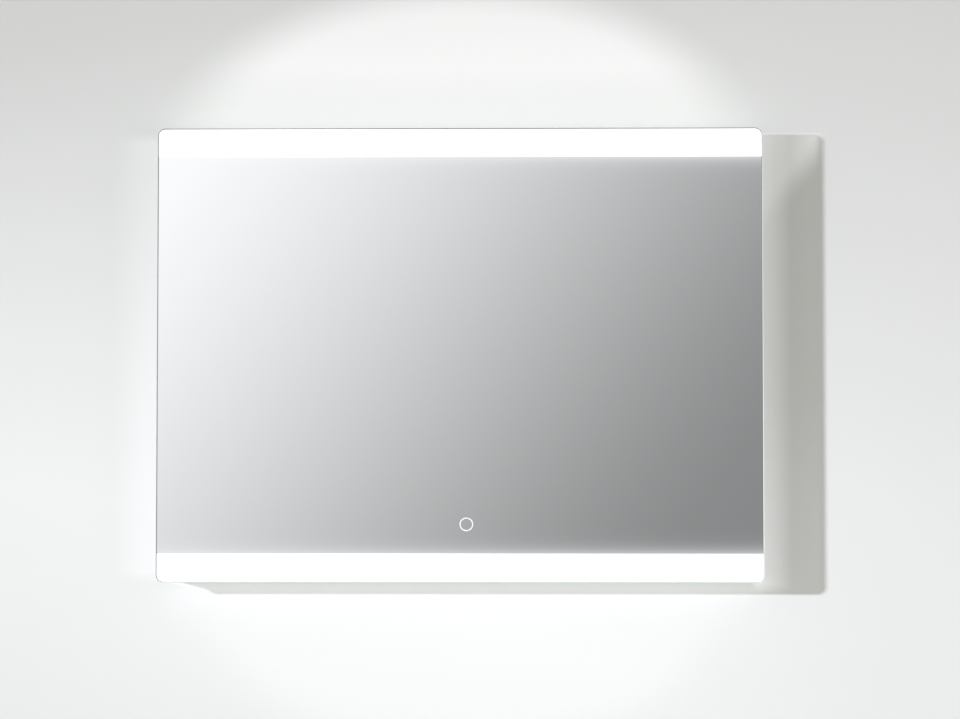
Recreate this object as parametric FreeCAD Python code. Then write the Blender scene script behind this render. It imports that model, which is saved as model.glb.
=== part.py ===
import FreeCAD, Part
import math
import os

# A lighted bathroom mirror that hangs on a wall rail, in millimetres.
# X runs to the right, Y into the wall and Z up. The wall is the plane Y = 0 and the glass
# faces -Y. The origin is the middle of the wall rail's outer screw slots.

V = FreeCAD.Vector

# ------------------------------------------------------------------ glass and silver
glass_width = 800.0
glass_height = 600.0
glass_thickness = 5.0
glass_corner_radius = 10.0
glass_arris = 1.0
backing_thickness = 0.3
backing_inset = 1.5  # the silver stops this far from the edge of the glass
band_height = 38.0  # bare glass along the top and the bottom edge

# ------------------------------------------------------------------ touch mark
ring_outer_radius = 9.0
ring_line = 1.5
ring_right_of_middle = 9.0
ring_above_bottom = 76.7

# ------------------------------------------------------------------ housing
frame_inset = 3.5  # the housing stands this far in from the edge of the glass
profile_wall = 1.6
side_to_wall = 3.0  # open strip between a side profile and the wall
edge_gap = 0.5  # side profiles and diffusers stop this far behind the glass
tape_thickness = 1.0
tape_margin = 1.0
bond_flange = 14.0
panel_ledge = 12.0
panel_thickness = 1.0
panel_corner_radius = 3.0
panel_side_gap = 0.5
panel_below_shelf = 2.4
notch_gap = 0.3  # side profiles are milled away this far from the light channels
end_gap = 0.2
arris = 0.5

# ------------------------------------------------------------------ light channels
shelf_behind_silver = 2.0  # the shelf stands this far behind the edge of the silver
diffuser_wall = 2.0
diffuser_corner_radius = 1.5
diffuser_gap = 0.3
diffuser_rear_gap = 0.2
lip_wall = 1.2
lip_height = 3.0
ledge_depth = 2.5
ledge_wall = 1.2
snap_wall = 1.5
snap_hook = 0.9
slot_gap = 1.1
slot_width = 10.0
slot_depth = 2.6
slot_wall = 1.2
slot_lip = 2.0
feed_room = 10.0
plug_thickness = 2.0
plug_gap = 0.3

# ------------------------------------------------------------------ LED boards
board_width = 10.0
board_thickness = 1.0
board_end_gap = 4.0
led_pitch = 1000.0 / 60
led_length = 3.5
led_width = 2.8
led_height = 0.8
led_end_margin = 8.0
feed_x = 330.0
feed_length = 12.0
feed_width = 6.8
feed_height = 4.5
feed_spigot_radius = 2.6
feed_depth = 3.0

# ------------------------------------------------------------------ corner brackets
bracket_leg = 46.0
bracket_thickness = 2.4
bracket_clearance = 0.2
grub_radius = 2.5
grub_length = 5.0
grub_socket = 1.25
grub_from_end = 10.0
grub_spacing = 16.0
thread_clearance = 0.05

# ------------------------------------------------------------------ rails
rail_thickness = 1.8
rail_plate = 25.0
rail_overlap = 12.0  # height of the wall rail's upright behind the hanger
hook_tip_gap = 2.0
hook_wall_gap = 2.6
hook_gap = 0.8
upright_gap = 2.2
hanger_length = 600.0
wall_rail_length = 560.0
slot_radius = 2.75
slot_length = 14.0
outer_slot_spacing = 480.0
inner_slot_spacing = 160.0
rivets_below_panel_top = 45.0
rivet_count = 6
rivet_from_end = 25.0
rivet_radius = 2.4
rivet_head_radius = 4.6
rivet_head = 1.3
rivet_bulge_radius = 3.5
rivet_bulge = 3.0

# ------------------------------------------------------------------ panel screws
screw_radius = 1.7
screw_head_radius = 3.3
screw_head = 2.2
recess_reach = 1.6
recess_depth = 1.2
screw_length = 6.5
screw_hole_radius = 2.0
screw_from_edge = 5.0
row_screws = 4
row_screw_from_end = 60.0
column_screws = 3
column_screw_spacing = 160.0

# ------------------------------------------------------------------ wall bumpers
bumper_radius = 10.0
bumper_tip_radius = 8.5
bumper_from_side = 55.0
bumper_above_panel_bottom = 30.0
bumper_floor = 5.0
bumper_bore_radius = 2.2
bumper_recess_radius = 4.2

# ------------------------------------------------------------------ vents
vent_length = 26.0
vent_width = 3.0
vent_columns = 4
vent_rows = 5
vent_column_pitch = 36.0
vent_row_pitch = 8.0
vents_below_middle = 60.0

# ------------------------------------------------------------------ driver
driver_from_middle = -130.0
driver_above_middle = 110.0
driver_length = 160.0
driver_width = 42.0
driver_depth = 20.0
case_wall = 1.6
lid_rim = 3.0
lid_rim_wall = 1.2
lid_gap = 0.1
ear_length = 12.0
ear_below_middle = 13.0
ear_thickness = 3.0
ear_hole_radius = 2.3
pillar_radius = 3.0
pillar_height = 2.0
pillar_from_end = 14.0
circuit_thickness = 1.6
circuit_end_gap = 6.4
circuit_side_gap = 0.6
input_length = 10.0
input_width = 18.0
output_length = 10.0
output_width = 14.0
transformer_length = 26.0
transformer_width = 22.0
sink_thickness = 3.0
sink_width = 28.0
sink_from_middle = 30.0
capacitor_radius = 6.0
capacitor_from_middle = 32.0
choke_radius = 5.0
choke_from_middle = 49.0
output_can_from_middle = 46.0
can_off_line = 9.0
screw_tip = 2.0  # short screws end this far behind the back panel

# ------------------------------------------------------------------ terminal box
terminal_from_middle = -290.0
terminal_length = 64.0
terminal_width = 48.0
terminal_depth = 22.0
cord_hole_radius = 4.0
block_length = 20.0
block_width = 18.0
block_depth = 15.0
pole_spacing = 8.0
sleeve_radius = 2.0
sleeve_bore_radius = 1.4
clamp_radius = 1.3
clamp_spacing = 10.0
clamp_head_gap = 0.6
clamp_slot = 0.5
clamp_slot_depth = 0.8
core_radius = 1.1
core_spacing = 3.0
core_reach = 6.0
jacket_reach = 3.0
fixing_offset_x = 25.0
fixing_offset_z = 17.0

# ------------------------------------------------------------------ cord bushing
bushing_below_box = 26.0
bushing_bore_radius = 3.6
bushing_neck_radius = 6.0
bushing_flange_radius = 8.5
bushing_flange = 2.0
bushing_bevel = 0.8
bushing_barb_radius = 6.9
bushing_barb = 2.0
bushing_length = 10.0
bushing_clearance = 0.05

# ------------------------------------------------------------------ touch sensor
sensor_length = 50.0
sensor_height = 32.0
sensor_depth = 9.0
sensor_tape = 0.8
sensor_wall = 1.2
sensor_window_gap = 0.6
sensor_ring_gap = 0.3
sensor_led = 0.8
sensor_led_length = 1.6
sensor_post = 1.4
sensor_post_radius = 1.5
sensor_board_thickness = 1.2
sensor_board_gap = 0.5
electrode_gap = 1.5
connector_length = 5.0
connector_width = 6.0
connector_gap = 0.4
sensor_lead_offset = 12.0

# ------------------------------------------------------------------ leads and clips
lead_radius = 1.6
mains_radius = 3.0
lead_clearance = 0.3
largest_bend = 40.0
clip_base = 12.0
clip_base_thickness = 1.0
clip_length = 6.0
clip_wall = 1.4
top_lead_above_middle = 180.0
bottom_lead_above_ring = 24.0
sensor_slope = 64.0
sensor_straight = 34.0
sensor_side_straight = 30.0

# ------------------------------------------------------------------ depths, from the wall
standoff = hook_wall_gap + hook_gap + upright_gap + 3 * rail_thickness
y_panel_back = -standoff
y_panel = y_panel_back - panel_thickness
y_rear_flange = y_panel - profile_wall
slot_outer = slot_width + 2 * slot_wall
box_depth = 2 * profile_wall + slot_gap + slot_outer + feed_room
y_bond = y_panel - box_depth
y_front_flange = y_bond + profile_wall
y_slot = y_front_flange + slot_gap
y_slot_rear = y_slot + slot_outer
y_lead = (y_slot_rear + y_rear_flange) / 2
y_tape = y_bond - tape_thickness
y_glass_back = y_tape - backing_thickness
y_glass_front = y_glass_back - glass_thickness
y_edge = y_glass_back + edge_gap
y_lip = y_edge + diffuser_wall + diffuser_gap
y_board_rear = y_lead - feed_width / 2
y_board_front = y_board_rear - board_width

# ------------------------------------------------------------------ widths, from the middle
x_house = glass_width / 2 - frame_inset
x_inner = x_house - profile_wall
x_channel = x_inner - end_gap
x_panel = x_inner - panel_side_gap

# ------------------------------------------------------------------ heights
# Half heights are counted from the middle of the glass, other heights from the origin.
half_house = glass_height / 2 - frame_inset
half_band = glass_height / 2 - band_height
half_shelf = half_band - shelf_behind_silver
half_shelf_under = half_shelf - profile_wall
half_flange = half_shelf_under - bond_flange
half_panel = half_shelf_under - panel_below_shelf
z_upright = rail_plate / 2 + rail_overlap
z_rivets = z_upright + rail_thickness + rail_plate / 2
z_middle = z_rivets + rivets_below_panel_top - half_panel
z_driver = z_middle + driver_above_middle
z_bushing = z_driver - terminal_width / 2 - bushing_below_box
z_ring = z_middle - glass_height / 2 + ring_above_bottom


# ------------------------------------------------------------------ shape helpers
def box(x, y, z):
    """A box between two limits on each axis."""
    size = (max(x) - min(x), max(y) - min(y), max(z) - min(z))
    return Part.makeBox(*size, V(min(x), min(y), min(z)))


def rod_y(radius, x, z, y):
    """A cylinder along Y between two depths."""
    return Part.makeCylinder(radius, max(y) - min(y), V(x, min(y), z), V(0, 1, 0))


def rod_x(radius, y, z, x):
    """A cylinder along X between two limits."""
    return Part.makeCylinder(radius, max(x) - min(x), V(min(x), y, z), V(1, 0, 0))


def rod_z(radius, x, y, z):
    """A cylinder along Z between two heights."""
    return Part.makeCylinder(radius, max(z) - min(z), V(x, y, min(z)), V(0, 0, 1))


def joined(shapes):
    """One solid from shapes that touch or overlap, with no seams left between them."""
    return shapes[0].fuse(shapes[1:]).removeSplitter()


def prism_x(outline, x):
    """A solid along X from its outline of (y, z) points."""
    points = [V(min(x), y, z) for y, z in outline]
    face = Part.Face(Part.makePolygon(points + points[:1]))
    return face.extrude(V(max(x) - min(x), 0, 0))


def obround_y(radius, length, x, z, y):
    """A slot-shaped cutter along Y, its length along X."""
    reach = length / 2 - radius
    ends = [rod_y(radius, x + side * reach, z, y) for side in (-1, 1)]
    middle = box((x - reach, x + reach), y, (z - radius, z + radius))
    return joined([middle] + ends)


def turned_y(outline, x, z):
    """A solid turned about an axis along Y, from its outline of (radius, y) points."""
    points = [V(x + radius, y, z) for radius, y in outline]
    face = Part.Face(Part.makePolygon(points + points[:1]))
    return face.revolve(V(x, 0, z), V(0, 1, 0), 360)


def softened(solid, radius, wanted):
    """The solid with those of its edges rounded that the test of their middle picks."""
    edges = [edge for edge in solid.Edges if wanted(edge.CenterOfMass, edge)]
    return solid.makeFillet(radius, edges)


def upside_down(shape):
    """The shape mirrored in the level plane through the middle of the glass."""
    return shape.mirror(V(0, 0, z_middle), V(0, 0, 1))


def other_side(shape):
    """The shape mirrored in the plane X = 0."""
    return shape.mirror(V(0, 0, 0), V(1, 0, 0))


def four_corners(shape):
    """The shape and its three mirror images in the two planes of symmetry."""
    pair = [shape, other_side(shape)]
    return pair + [upside_down(piece) for piece in pair]


def spread(count, first, last):
    """Evenly spaced places from the first to the last."""
    return [first + (last - first) * step / (count - 1) for step in range(count)]


def cross_recess(x, z, y_top, towards):
    """A cutter for the cross recess in a screw head whose top is at y_top."""
    depths = (y_top, y_top - towards * recess_depth)
    arms = [(recess_reach, recess_reach / 4), (recess_reach / 4, recess_reach)]
    return joined([box((x - a, x + a), depths, (z - b, z + b)) for a, b in arms])


def pan_screw(x, z, y_seat, towards, length, radius=screw_radius):
    """A pan-head screw along Y: its head stands on the seat, on the side `towards` (+1 or -1)."""
    head_top = y_seat + towards * screw_head
    shank = rod_y(radius, x, z, (y_seat, y_seat - towards * length))
    head = rod_y(screw_head_radius, x, z, (y_seat, head_top))
    rim = [e for e in head.Edges if abs(e.CenterOfMass.y - head_top) < 1e-6 and e.Closed]
    head = head.makeFillet(screw_head * 0.4, rim)
    return joined([shank, head]).cut(cross_recess(x, z, head_top, towards))


def save(name, shapes):
    """Writes one named node, a solid or a group of solids."""
    group = shapes if isinstance(shapes, list) else [shapes]
    solids = [solid for shape in group for solid in shape.Solids]
    node = solids[0] if len(solids) == 1 else Part.makeCompound(solids)
    node.exportStep("parts/" + name + ".step")
    print(name, len(solids), "solids", round(sum(s.Volume for s in solids) / 1000, 2), "cm3")


# ------------------------------------------------------------------ glass
def mirror_glass():
    half = (glass_width / 2, glass_height / 2)
    z = (z_middle - half[1], z_middle + half[1])
    plate = box((-half[0], half[0]), (y_glass_front, y_glass_back), z)
    plate = softened(plate, glass_corner_radius, lambda at, edge: along(edge, V(0, 1, 0)))
    rims = [e for e in plate.Edges if not along(e, V(0, 1, 0))]
    return plate.makeChamfer(glass_arris, rims)


def along(edge, direction):
    """True for a straight edge that runs along the direction."""
    if edge.Curve.TypeId != "Part::GeomLine":
        return False
    return abs(edge.tangentAt(edge.FirstParameter).dot(direction)) > 0.999


def mirror_backing():
    """The silver, bare in the ring of the touch mark, which leaves its middle as a disc."""
    x = glass_width / 2 - backing_inset
    y = (y_tape, y_glass_back)
    sheet = box((-x, x), y, (z_middle - half_band, z_middle + half_band))
    hole = rod_y(ring_outer_radius, ring_right_of_middle, z_ring, y)
    disc = rod_y(ring_outer_radius - ring_line, ring_right_of_middle, z_ring, y)
    return [sheet.cut(hole), disc]


def glass_tapes():
    """Foam tapes between the frame's four bonding flanges and the backing."""
    y = (y_tape, y_bond)
    end = half_flange - notch_gap - tape_margin
    x = (x_inner - bond_flange + tape_margin, x_inner - tape_margin)
    upright = box(x, y, (z_middle - end, z_middle + end))
    reach = x_channel - tape_margin
    level_z = (z_middle + half_flange + tape_margin, z_middle + half_shelf - tape_margin)
    level = box((-reach, reach), y, level_z)
    return [upright, other_side(upright), level, upside_down(level)]


# ------------------------------------------------------------------ frame
def slot_section(floor, inward):
    """The bracket slot's two ribs and lips as rectangles: (y limits, limits off the floor)."""
    far = floor + inward * (slot_depth + slot_wall)
    lip = floor + inward * slot_depth
    inner = (y_slot + slot_wall, y_slot_rear - slot_wall)
    return [
        ((y_slot, inner[0]), (floor, far)),
        ((inner[1], y_slot_rear), (floor, far)),
        ((inner[0], inner[0] + slot_lip), (lip, far)),
        ((inner[1] - slot_lip, inner[1]), (lip, far)),
    ]


def side_profile():
    """The right side profile. Its flanges and slot are milled away past the light channels."""
    z = (z_middle - half_house, z_middle + half_house)
    wall = box((x_inner, x_house), (y_edge, -side_to_wall), z)
    wall = softened(wall, arris, lambda at, e: along(e, V(0, 0, 1)) and at.x > x_inner + arris)
    short = half_flange - notch_gap
    z_short = (z_middle - short, z_middle + short)
    flange = box((x_inner - bond_flange, x_inner), (y_bond, y_front_flange), z_short)
    ledge = box((x_inner - panel_ledge, x_inner), (y_rear_flange, y_panel), z_short)
    slot = [box(x, y, z_short) for y, x in slot_section(x_inner, -1)]
    profile = joined([wall, flange, ledge] + slot)
    x_screw = x_panel - screw_from_edge
    holes = [pilot_hole(x_screw, z) for z in column_screw_heights()]
    return profile.cut(holes)


def pilot_hole(x, z):
    """A hole that a panel screw taps into a ledge or flange of the frame."""
    return rod_y(screw_radius + thread_clearance, x, z, (y_rear_flange, y_panel))


def column_screw_heights():
    reach = column_screw_spacing * (column_screws - 1) / 2
    return spread(column_screws, z_middle - reach, z_middle + reach)


def row_screw_places():
    reach = x_panel - row_screw_from_end
    return spread(row_screws, -reach, reach)


def light_channel():
    """The top light channel: bonding flange, shelf, rear plate, bracket slot and diffuser seats."""
    x = (-x_channel, x_channel)
    shelf = z_middle + half_shelf
    under = z_middle + half_shelf_under
    top = z_middle + half_house
    seat = top - diffuser_wall
    section = [
        ((y_bond, y_front_flange), (z_middle + half_flange, shelf)),
        ((y_bond, y_panel), (under, shelf)),
        ((y_rear_flange, y_panel), (z_middle + half_flange, top)),
        ((y_lip, y_lip + lip_wall), (shelf, shelf + lip_height)),
        ((y_rear_flange - ledge_depth, y_rear_flange), (seat - ledge_wall, seat)),
    ]
    slot_end = x_inner - slot_depth - notch_gap
    slot = [box((-slot_end, slot_end), y, z) for y, z in slot_section(under, -1)]
    profile = joined([box(x, y, z) for y, z in section] + slot)
    z_screw = z_middle + half_panel - screw_from_edge
    holes = [pilot_hole(place, z_screw) for place in row_screw_places()]
    holes.append(rod_z(feed_spigot_radius + plug_gap / 2, feed_x, y_lead, (under, shelf)))
    return profile.cut(holes)


def diffuser():
    """The top diffuser: its front wall stands on the shelf and its top snaps under the ledge."""
    shelf = z_middle + half_shelf
    top = z_middle + half_house
    under = top - diffuser_wall
    rear = y_rear_flange - diffuser_rear_gap
    leg = y_rear_flange - ledge_depth - diffuser_gap
    hook = under - ledge_wall - diffuser_gap
    foot = hook - snap_wall
    inside = y_edge + diffuser_wall
    outline = [
        (y_edge, shelf), (y_edge, top), (rear, top), (rear, under), (leg, under),
        (leg, hook), (leg + snap_hook, hook), (leg, foot), (leg - snap_wall, foot),
        (leg - snap_wall, under), (inside, under), (inside, shelf),
    ]
    solid = prism_x(outline, (-x_channel, x_channel))

    def outer_corner(at, edge):
        return abs(at.y - y_edge) < 1e-6 and abs(at.z - top) < 1e-6 and along(edge, V(1, 0, 0))

    return softened(solid, diffuser_corner_radius, outer_corner)


def end_plug():
    """The right plug of the top channel, inside the diffuser, notched round its snap leg."""
    shelf = z_middle + half_shelf
    under = z_middle + half_house - diffuser_wall - plug_gap
    leg = y_rear_flange - ledge_depth - diffuser_gap - snap_wall
    foot = under - ledge_wall - diffuser_gap - snap_wall
    front = y_lip + lip_wall + plug_gap
    rear = y_rear_flange - plug_gap
    outline = [
        (front, shelf), (rear, shelf), (rear, foot), (leg - plug_gap, foot),
        (leg - plug_gap, under), (front, under),
    ]
    return prism_x(outline, (x_channel - plug_thickness, x_channel))


def corner_bracket():
    """The top right corner bracket, its two legs lying against the lips of the slots."""
    y_middle = (y_slot + y_slot_rear) / 2
    half = slot_width / 2 - bracket_clearance
    y = (y_middle - half, y_middle + half)
    under = z_middle + half_shelf_under
    thick = (slot_depth - bracket_thickness, slot_depth)
    reach_x = (x_inner - bracket_leg, x_inner - thick[0])
    reach_z = (under - bracket_leg, under - thick[0])
    level = box(reach_x, y, (under - thick[0], under - thick[1]))
    upright = box((x_inner - thick[0], x_inner - thick[1]), y, reach_z)
    holes = [tapped for place in grub_places() for tapped in grub_holes(place)]
    return joined([level, upright]).cut(holes)


def grub_places():
    """Distances of the two grub screws of a bracket leg from the corner."""
    last = bracket_leg - grub_from_end
    return [last - grub_spacing, last]


def grub_holes(place):
    y = (y_slot + y_slot_rear) / 2
    under = z_middle + half_shelf_under
    radius = grub_radius + thread_clearance
    return [
        rod_z(radius, x_inner - place, y, (under, under - slot_depth)),
        rod_x(radius, y, under - place, (x_inner, x_inner - slot_depth)),
    ]


def grub_screws():
    """The four grub screws of the top right bracket, which press on the floors of the slots."""
    y = (y_slot + y_slot_rear) / 2
    under = z_middle + half_shelf_under
    screws = []
    for place in grub_places():
        level = (under, under - grub_length)
        socket = (under - grub_length, under - grub_length + grub_radius)
        pin = rod_z(grub_radius, x_inner - place, y, level)
        screws.append(pin.cut(hexagon_z(grub_socket, x_inner - place, y, socket)))
        level = (x_inner, x_inner - grub_length)
        pin = rod_x(grub_radius, y, under - place, level)
        turned = hexagon_z(grub_socket, 0, 0, (0, grub_radius))
        turned.rotate(V(0, 0, 0), V(0, 1, 0), 90)
        turned.translate(V(x_inner - grub_length, y, under - place))
        screws.append(pin.cut(turned))
    return screws


def hexagon_z(flat, x, y, z):
    """A hexagonal cutter along Z, with the distance from its axis to a flat."""
    corner = flat / math.cos(math.pi / 6)
    angles = [math.pi / 3 * step for step in range(7)]
    points = [V(x + corner * math.cos(a), y + corner * math.sin(a), min(z)) for a in angles]
    return Part.Face(Part.makePolygon(points)).extrude(V(0, 0, max(z) - min(z)))


# ------------------------------------------------------------------ LED boards
def led_board():
    reach = x_channel - plug_thickness - board_end_gap
    shelf = z_middle + half_shelf
    return box((-reach, reach), (y_board_front, y_board_rear), (shelf, shelf + board_thickness))


def led_chips():
    """One row of LEDs along the middle of the top board."""
    reach = x_channel - plug_thickness - board_end_gap - led_end_margin
    count = int(2 * reach / led_pitch) + 1
    y_row = (y_board_front + y_board_rear) / 2
    y = (y_row - led_width / 2, y_row + led_width / 2)
    low = z_middle + half_shelf + board_thickness
    chips = []
    for step in range(count):
        x = (step - (count - 1) / 2) * led_pitch
        ends = (x - led_length / 2, x + led_length / 2)
        chips.append(box(ends, y, (low, low + led_height)))
    return chips


def strip_feed():
    """The connector beside the top board, with a spigot for the lead through the shelf."""
    shelf = z_middle + half_shelf
    under = z_middle + half_shelf_under
    x = (feed_x - feed_length / 2, feed_x + feed_length / 2)
    y = (y_lead - feed_width / 2, y_lead + feed_width / 2)
    block = box(x, y, (shelf, shelf + feed_height))
    spigot = rod_z(feed_spigot_radius, feed_x, y_lead, (under, shelf))
    bore = rod_z(lead_radius + thread_clearance, feed_x, y_lead, (under, shelf + feed_depth))
    return joined([block, spigot]).cut(bore)


# ------------------------------------------------------------------ back panel and rails
def back_panel():
    z = (z_middle - half_panel, z_middle + half_panel)
    y = (y_panel, y_panel_back)
    sheet = box((-x_panel, x_panel), y, z)
    sheet = softened(sheet, panel_corner_radius, lambda at, edge: along(edge, V(0, 1, 0)))
    holes = [rod_y(screw_hole_radius, x, z, y) for x, z in panel_screw_places()]
    holes += [rod_y(rivet_radius + thread_clearance, x, z_rivets, y) for x in rivet_places()]
    tapped = screw_radius + thread_clearance
    taps = bumper_places() + driver_screw_places() + terminal_screw_places()
    holes += [rod_y(tapped, x, z, y) for x, z in taps]
    neck = bushing_neck_radius + bushing_clearance
    holes.append(rod_y(neck, terminal_from_middle, z_bushing, y))
    holes += vents(y)
    return sheet.cut(holes)


def vents(y):
    """Two blocks of vent slots below the driver, one each side of the middle."""
    first_z = z_middle - vents_below_middle
    first_x = vent_column_pitch * 2
    cutters = []
    for row in range(vent_rows):
        for column in range(vent_columns):
            x = first_x + column * vent_column_pitch
            z = first_z - row * vent_row_pitch
            cutter = obround_y(vent_width / 2, vent_length, x, z, y)
            cutters += [cutter, other_side(cutter)]
    return cutters


def panel_screw_places():
    z_row = half_panel - screw_from_edge
    rows = [(x, z_middle + side * z_row) for side in (-1, 1) for x in row_screw_places()]
    x_column = x_panel - screw_from_edge
    return rows + [(side * x_column, z) for side in (-1, 1) for z in column_screw_heights()]


def panel_screws():
    return [pan_screw(x, z, y_panel_back, 1, screw_length) for x, z in panel_screw_places()]


def hanger_rail():
    """The Z-profile on the back panel: plate, web that rests on the wall rail, and hook."""
    x = (-hanger_length / 2, hanger_length / 2)
    y_plate = y_panel_back + rail_thickness
    y_hook = -hook_wall_gap
    top = z_upright + rail_thickness + rail_plate
    hook_tip = z_upright - rail_overlap + hook_tip_gap
    plate = box(x, (y_panel_back, y_plate), (z_upright, top))
    web = box(x, (y_panel_back, y_hook), (z_upright, z_upright + rail_thickness))
    hook = box(x, (y_hook - rail_thickness, y_hook), (hook_tip, z_upright + rail_thickness))
    holes = [rivet_hole(place, (y_panel_back, y_plate)) for place in rivet_places()]
    return joined([plate, web, hook]).cut(holes)


def rivet_hole(x, y):
    return rod_y(rivet_radius + thread_clearance, x, z_rivets, y)


def rivet_places():
    reach = hanger_length / 2 - rivet_from_end
    return spread(rivet_count, -reach, reach)


def hanger_rivets():
    """Blind rivets: a domed head behind the rail and a bulge inside the back panel."""
    y_plate = y_panel_back + rail_thickness
    outline = [
        (0, y_panel - rivet_bulge), (rivet_radius, y_panel - rivet_bulge),
        (rivet_bulge_radius, y_panel - rivet_bulge / 2), (rivet_bulge_radius, y_panel),
        (rivet_radius, y_panel), (rivet_radius, y_plate), (rivet_head_radius, y_plate),
        (rivet_head_radius * 0.7, y_plate + rivet_head * 0.8),
        (rivet_head_radius * 0.3, y_plate + rivet_head), (0, y_plate + rivet_head),
    ]
    return [turned_y(outline, x, z_rivets) for x in rivet_places()]


def wall_rail():
    """The Z-profile on the wall: plate with screw slots, web, and the upright that carries."""
    x = (-wall_rail_length / 2, wall_rail_length / 2)
    top = rail_plate / 2
    y_upright = -(hook_wall_gap + rail_thickness + hook_gap)
    plate = box(x, (-rail_thickness, 0), (-top, top))
    web = box(x, (y_upright - rail_thickness, 0), (top - rail_thickness, top))
    upright_z = (top - rail_thickness, z_upright)
    upright = box(x, (y_upright - rail_thickness, y_upright), upright_z)
    centres = [side * s / 2 for s in (outer_slot_spacing, inner_slot_spacing) for side in (-1, 1)]
    slots = [obround_y(slot_radius, slot_length, at, 0, (-rail_thickness, 0)) for at in centres]
    return joined([plate, web, upright]).cut(slots)


def bumper_places():
    z = z_middle - half_panel + bumper_above_panel_bottom
    return [(side * (x_panel - bumper_from_side), z) for side in (-1, 1)]


def wall_bumpers():
    """Rubber feet from the back panel to the wall, each with a sunk screw."""
    floor = y_panel_back + bumper_floor
    outline = [
        (bumper_bore_radius, y_panel_back), (bumper_radius, y_panel_back),
        (bumper_radius, floor), (bumper_tip_radius, 0), (bumper_recess_radius, 0),
        (bumper_recess_radius, floor), (bumper_bore_radius, floor),
    ]
    return [turned_y(outline, x, z) for x, z in bumper_places()]


def bumper_screws():
    seat = y_panel_back + bumper_floor
    length = bumper_floor + panel_thickness + screw_tip
    return [pan_screw(x, z, seat, 1, length) for x, z in bumper_places()]


# ------------------------------------------------------------------ driver
def tray(x, z, depth):
    """An open box on the inner face of the back panel, and its lid, (tray, lid)."""
    y_lid = y_panel - depth + case_wall
    inner_x = (min(x) + case_wall, max(x) - case_wall)
    inner_z = (min(z) + case_wall, max(z) - case_wall)
    body = box(x, (y_panel, y_lid), z).cut(box(inner_x, (y_panel - case_wall, y_lid), inner_z))
    plate = box(x, (y_lid, y_panel - depth), z)
    rim_x = (inner_x[0] + lid_gap, inner_x[1] - lid_gap)
    rim_z = (inner_z[0] + lid_gap, inner_z[1] - lid_gap)
    hollow_x = (rim_x[0] + lid_rim_wall, rim_x[1] - lid_rim_wall)
    hollow_z = (rim_z[0] + lid_rim_wall, rim_z[1] - lid_rim_wall)
    rim_y = (y_lid, y_lid + lid_rim)
    rim = box(rim_x, rim_y, rim_z).cut(box(hollow_x, rim_y, hollow_z))
    return body, joined([plate, rim])


def driver_limits():
    half = driver_length / 2
    x = (driver_from_middle - half, driver_from_middle + half)
    return x, (z_driver - driver_width / 2, z_driver + driver_width / 2)


def driver_screw_places():
    x, _ = driver_limits()
    middle = ear_length / 2
    height = z_driver - ear_below_middle
    return [(x[0] - middle, height), (x[1] + middle, height)]


def driver_case_and_lid():
    x, z = driver_limits()
    body, lid = tray(x, z, driver_depth)
    ears = []
    for place, height in driver_screw_places():
        ends = (place - ear_length / 2, place + ear_length / 2)
        ear_z = (height - ear_length / 2, height + ear_length / 2)
        ears.append(box(ends, (y_panel, y_panel - ear_thickness), ear_z))
    floor = y_panel - case_wall
    pillars = [rod_y(pillar_radius, at, h, (floor, floor - pillar_height)) for at, h in pillar_places()]
    holes = [
        rod_y(ear_hole_radius, at, h, (y_panel, y_panel - ear_thickness))
        for at, h in driver_screw_places()
    ]
    holes.append(rod_x(mains_radius + lead_clearance, y_lead, z_driver, (x[0], x[0] + case_wall)))
    holes.append(rod_x(lead_radius + lead_clearance, y_lead, z_driver, (x[1] - case_wall, x[1])))
    return joined([body] + ears + pillars).cut(holes), lid


def pillar_places():
    x, z = driver_limits()
    inset = case_wall + circuit_side_gap + pillar_radius
    places = []
    for at in (x[0] + pillar_from_end, x[1] - pillar_from_end):
        places += [(at, z[0] + inset), (at, z[1] - inset)]
    return places


def driver_board_limits():
    x, z = driver_limits()
    ends = (x[0] + case_wall + circuit_end_gap, x[1] - case_wall - circuit_end_gap)
    sides = (z[0] + case_wall + circuit_side_gap, z[1] - case_wall - circuit_side_gap)
    y = y_panel - case_wall - pillar_height
    return ends, (y, y - circuit_thickness), sides


def driver_board():
    return box(*driver_board_limits())


def driver_components():
    """Terminals at both ends of the board, transformer, capacitors, choke and heat sink."""
    x, y, z = driver_board_limits()
    face = y[1]
    room = driver_depth - case_wall - (y_panel - face)
    middle = sum(x) / 2

    def block(at, length, width, share):
        ends = (at - length / 2, at + length / 2)
        sides = (z_driver - width / 2, z_driver + width / 2)
        return box(ends, (face, face - room * share), sides)

    def can(at, radius, share, off):
        return rod_y(radius, at, z_driver + off, (face, face - room * share))

    parts = [
        block(x[0] + input_length / 2, input_length, input_width, 0.7),
        block(x[1] - output_length / 2, output_length, output_width, 0.6),
        block(middle, transformer_length, transformer_width, 0.95),
        block(middle + sink_from_middle, sink_thickness, sink_width, 0.9),
        can(middle - choke_from_middle, choke_radius, 0.6, 0),
    ]
    for off in (-can_off_line, can_off_line):
        parts.append(can(middle - capacitor_from_middle, capacitor_radius, 0.9, off))
        parts.append(can(middle + output_can_from_middle, choke_radius, 0.8, off))
    return parts


def driver_screws():
    seat = y_panel - ear_thickness
    length = ear_thickness + panel_thickness + screw_tip
    return [pan_screw(x, z, seat, -1, length) for x, z in driver_screw_places()]


# ------------------------------------------------------------------ terminal box
def terminal_limits():
    half = terminal_length / 2
    x = (terminal_from_middle - half, terminal_from_middle + half)
    return x, (z_driver - terminal_width / 2, z_driver + terminal_width / 2)


def terminal_screw_places():
    """The block's middle screw and the box's two, at opposite corners."""
    x = terminal_from_middle
    corners = [(x + s * fixing_offset_x, z_driver - s * fixing_offset_z) for s in (-1, 1)]
    return [(x, z_driver)] + corners


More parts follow.
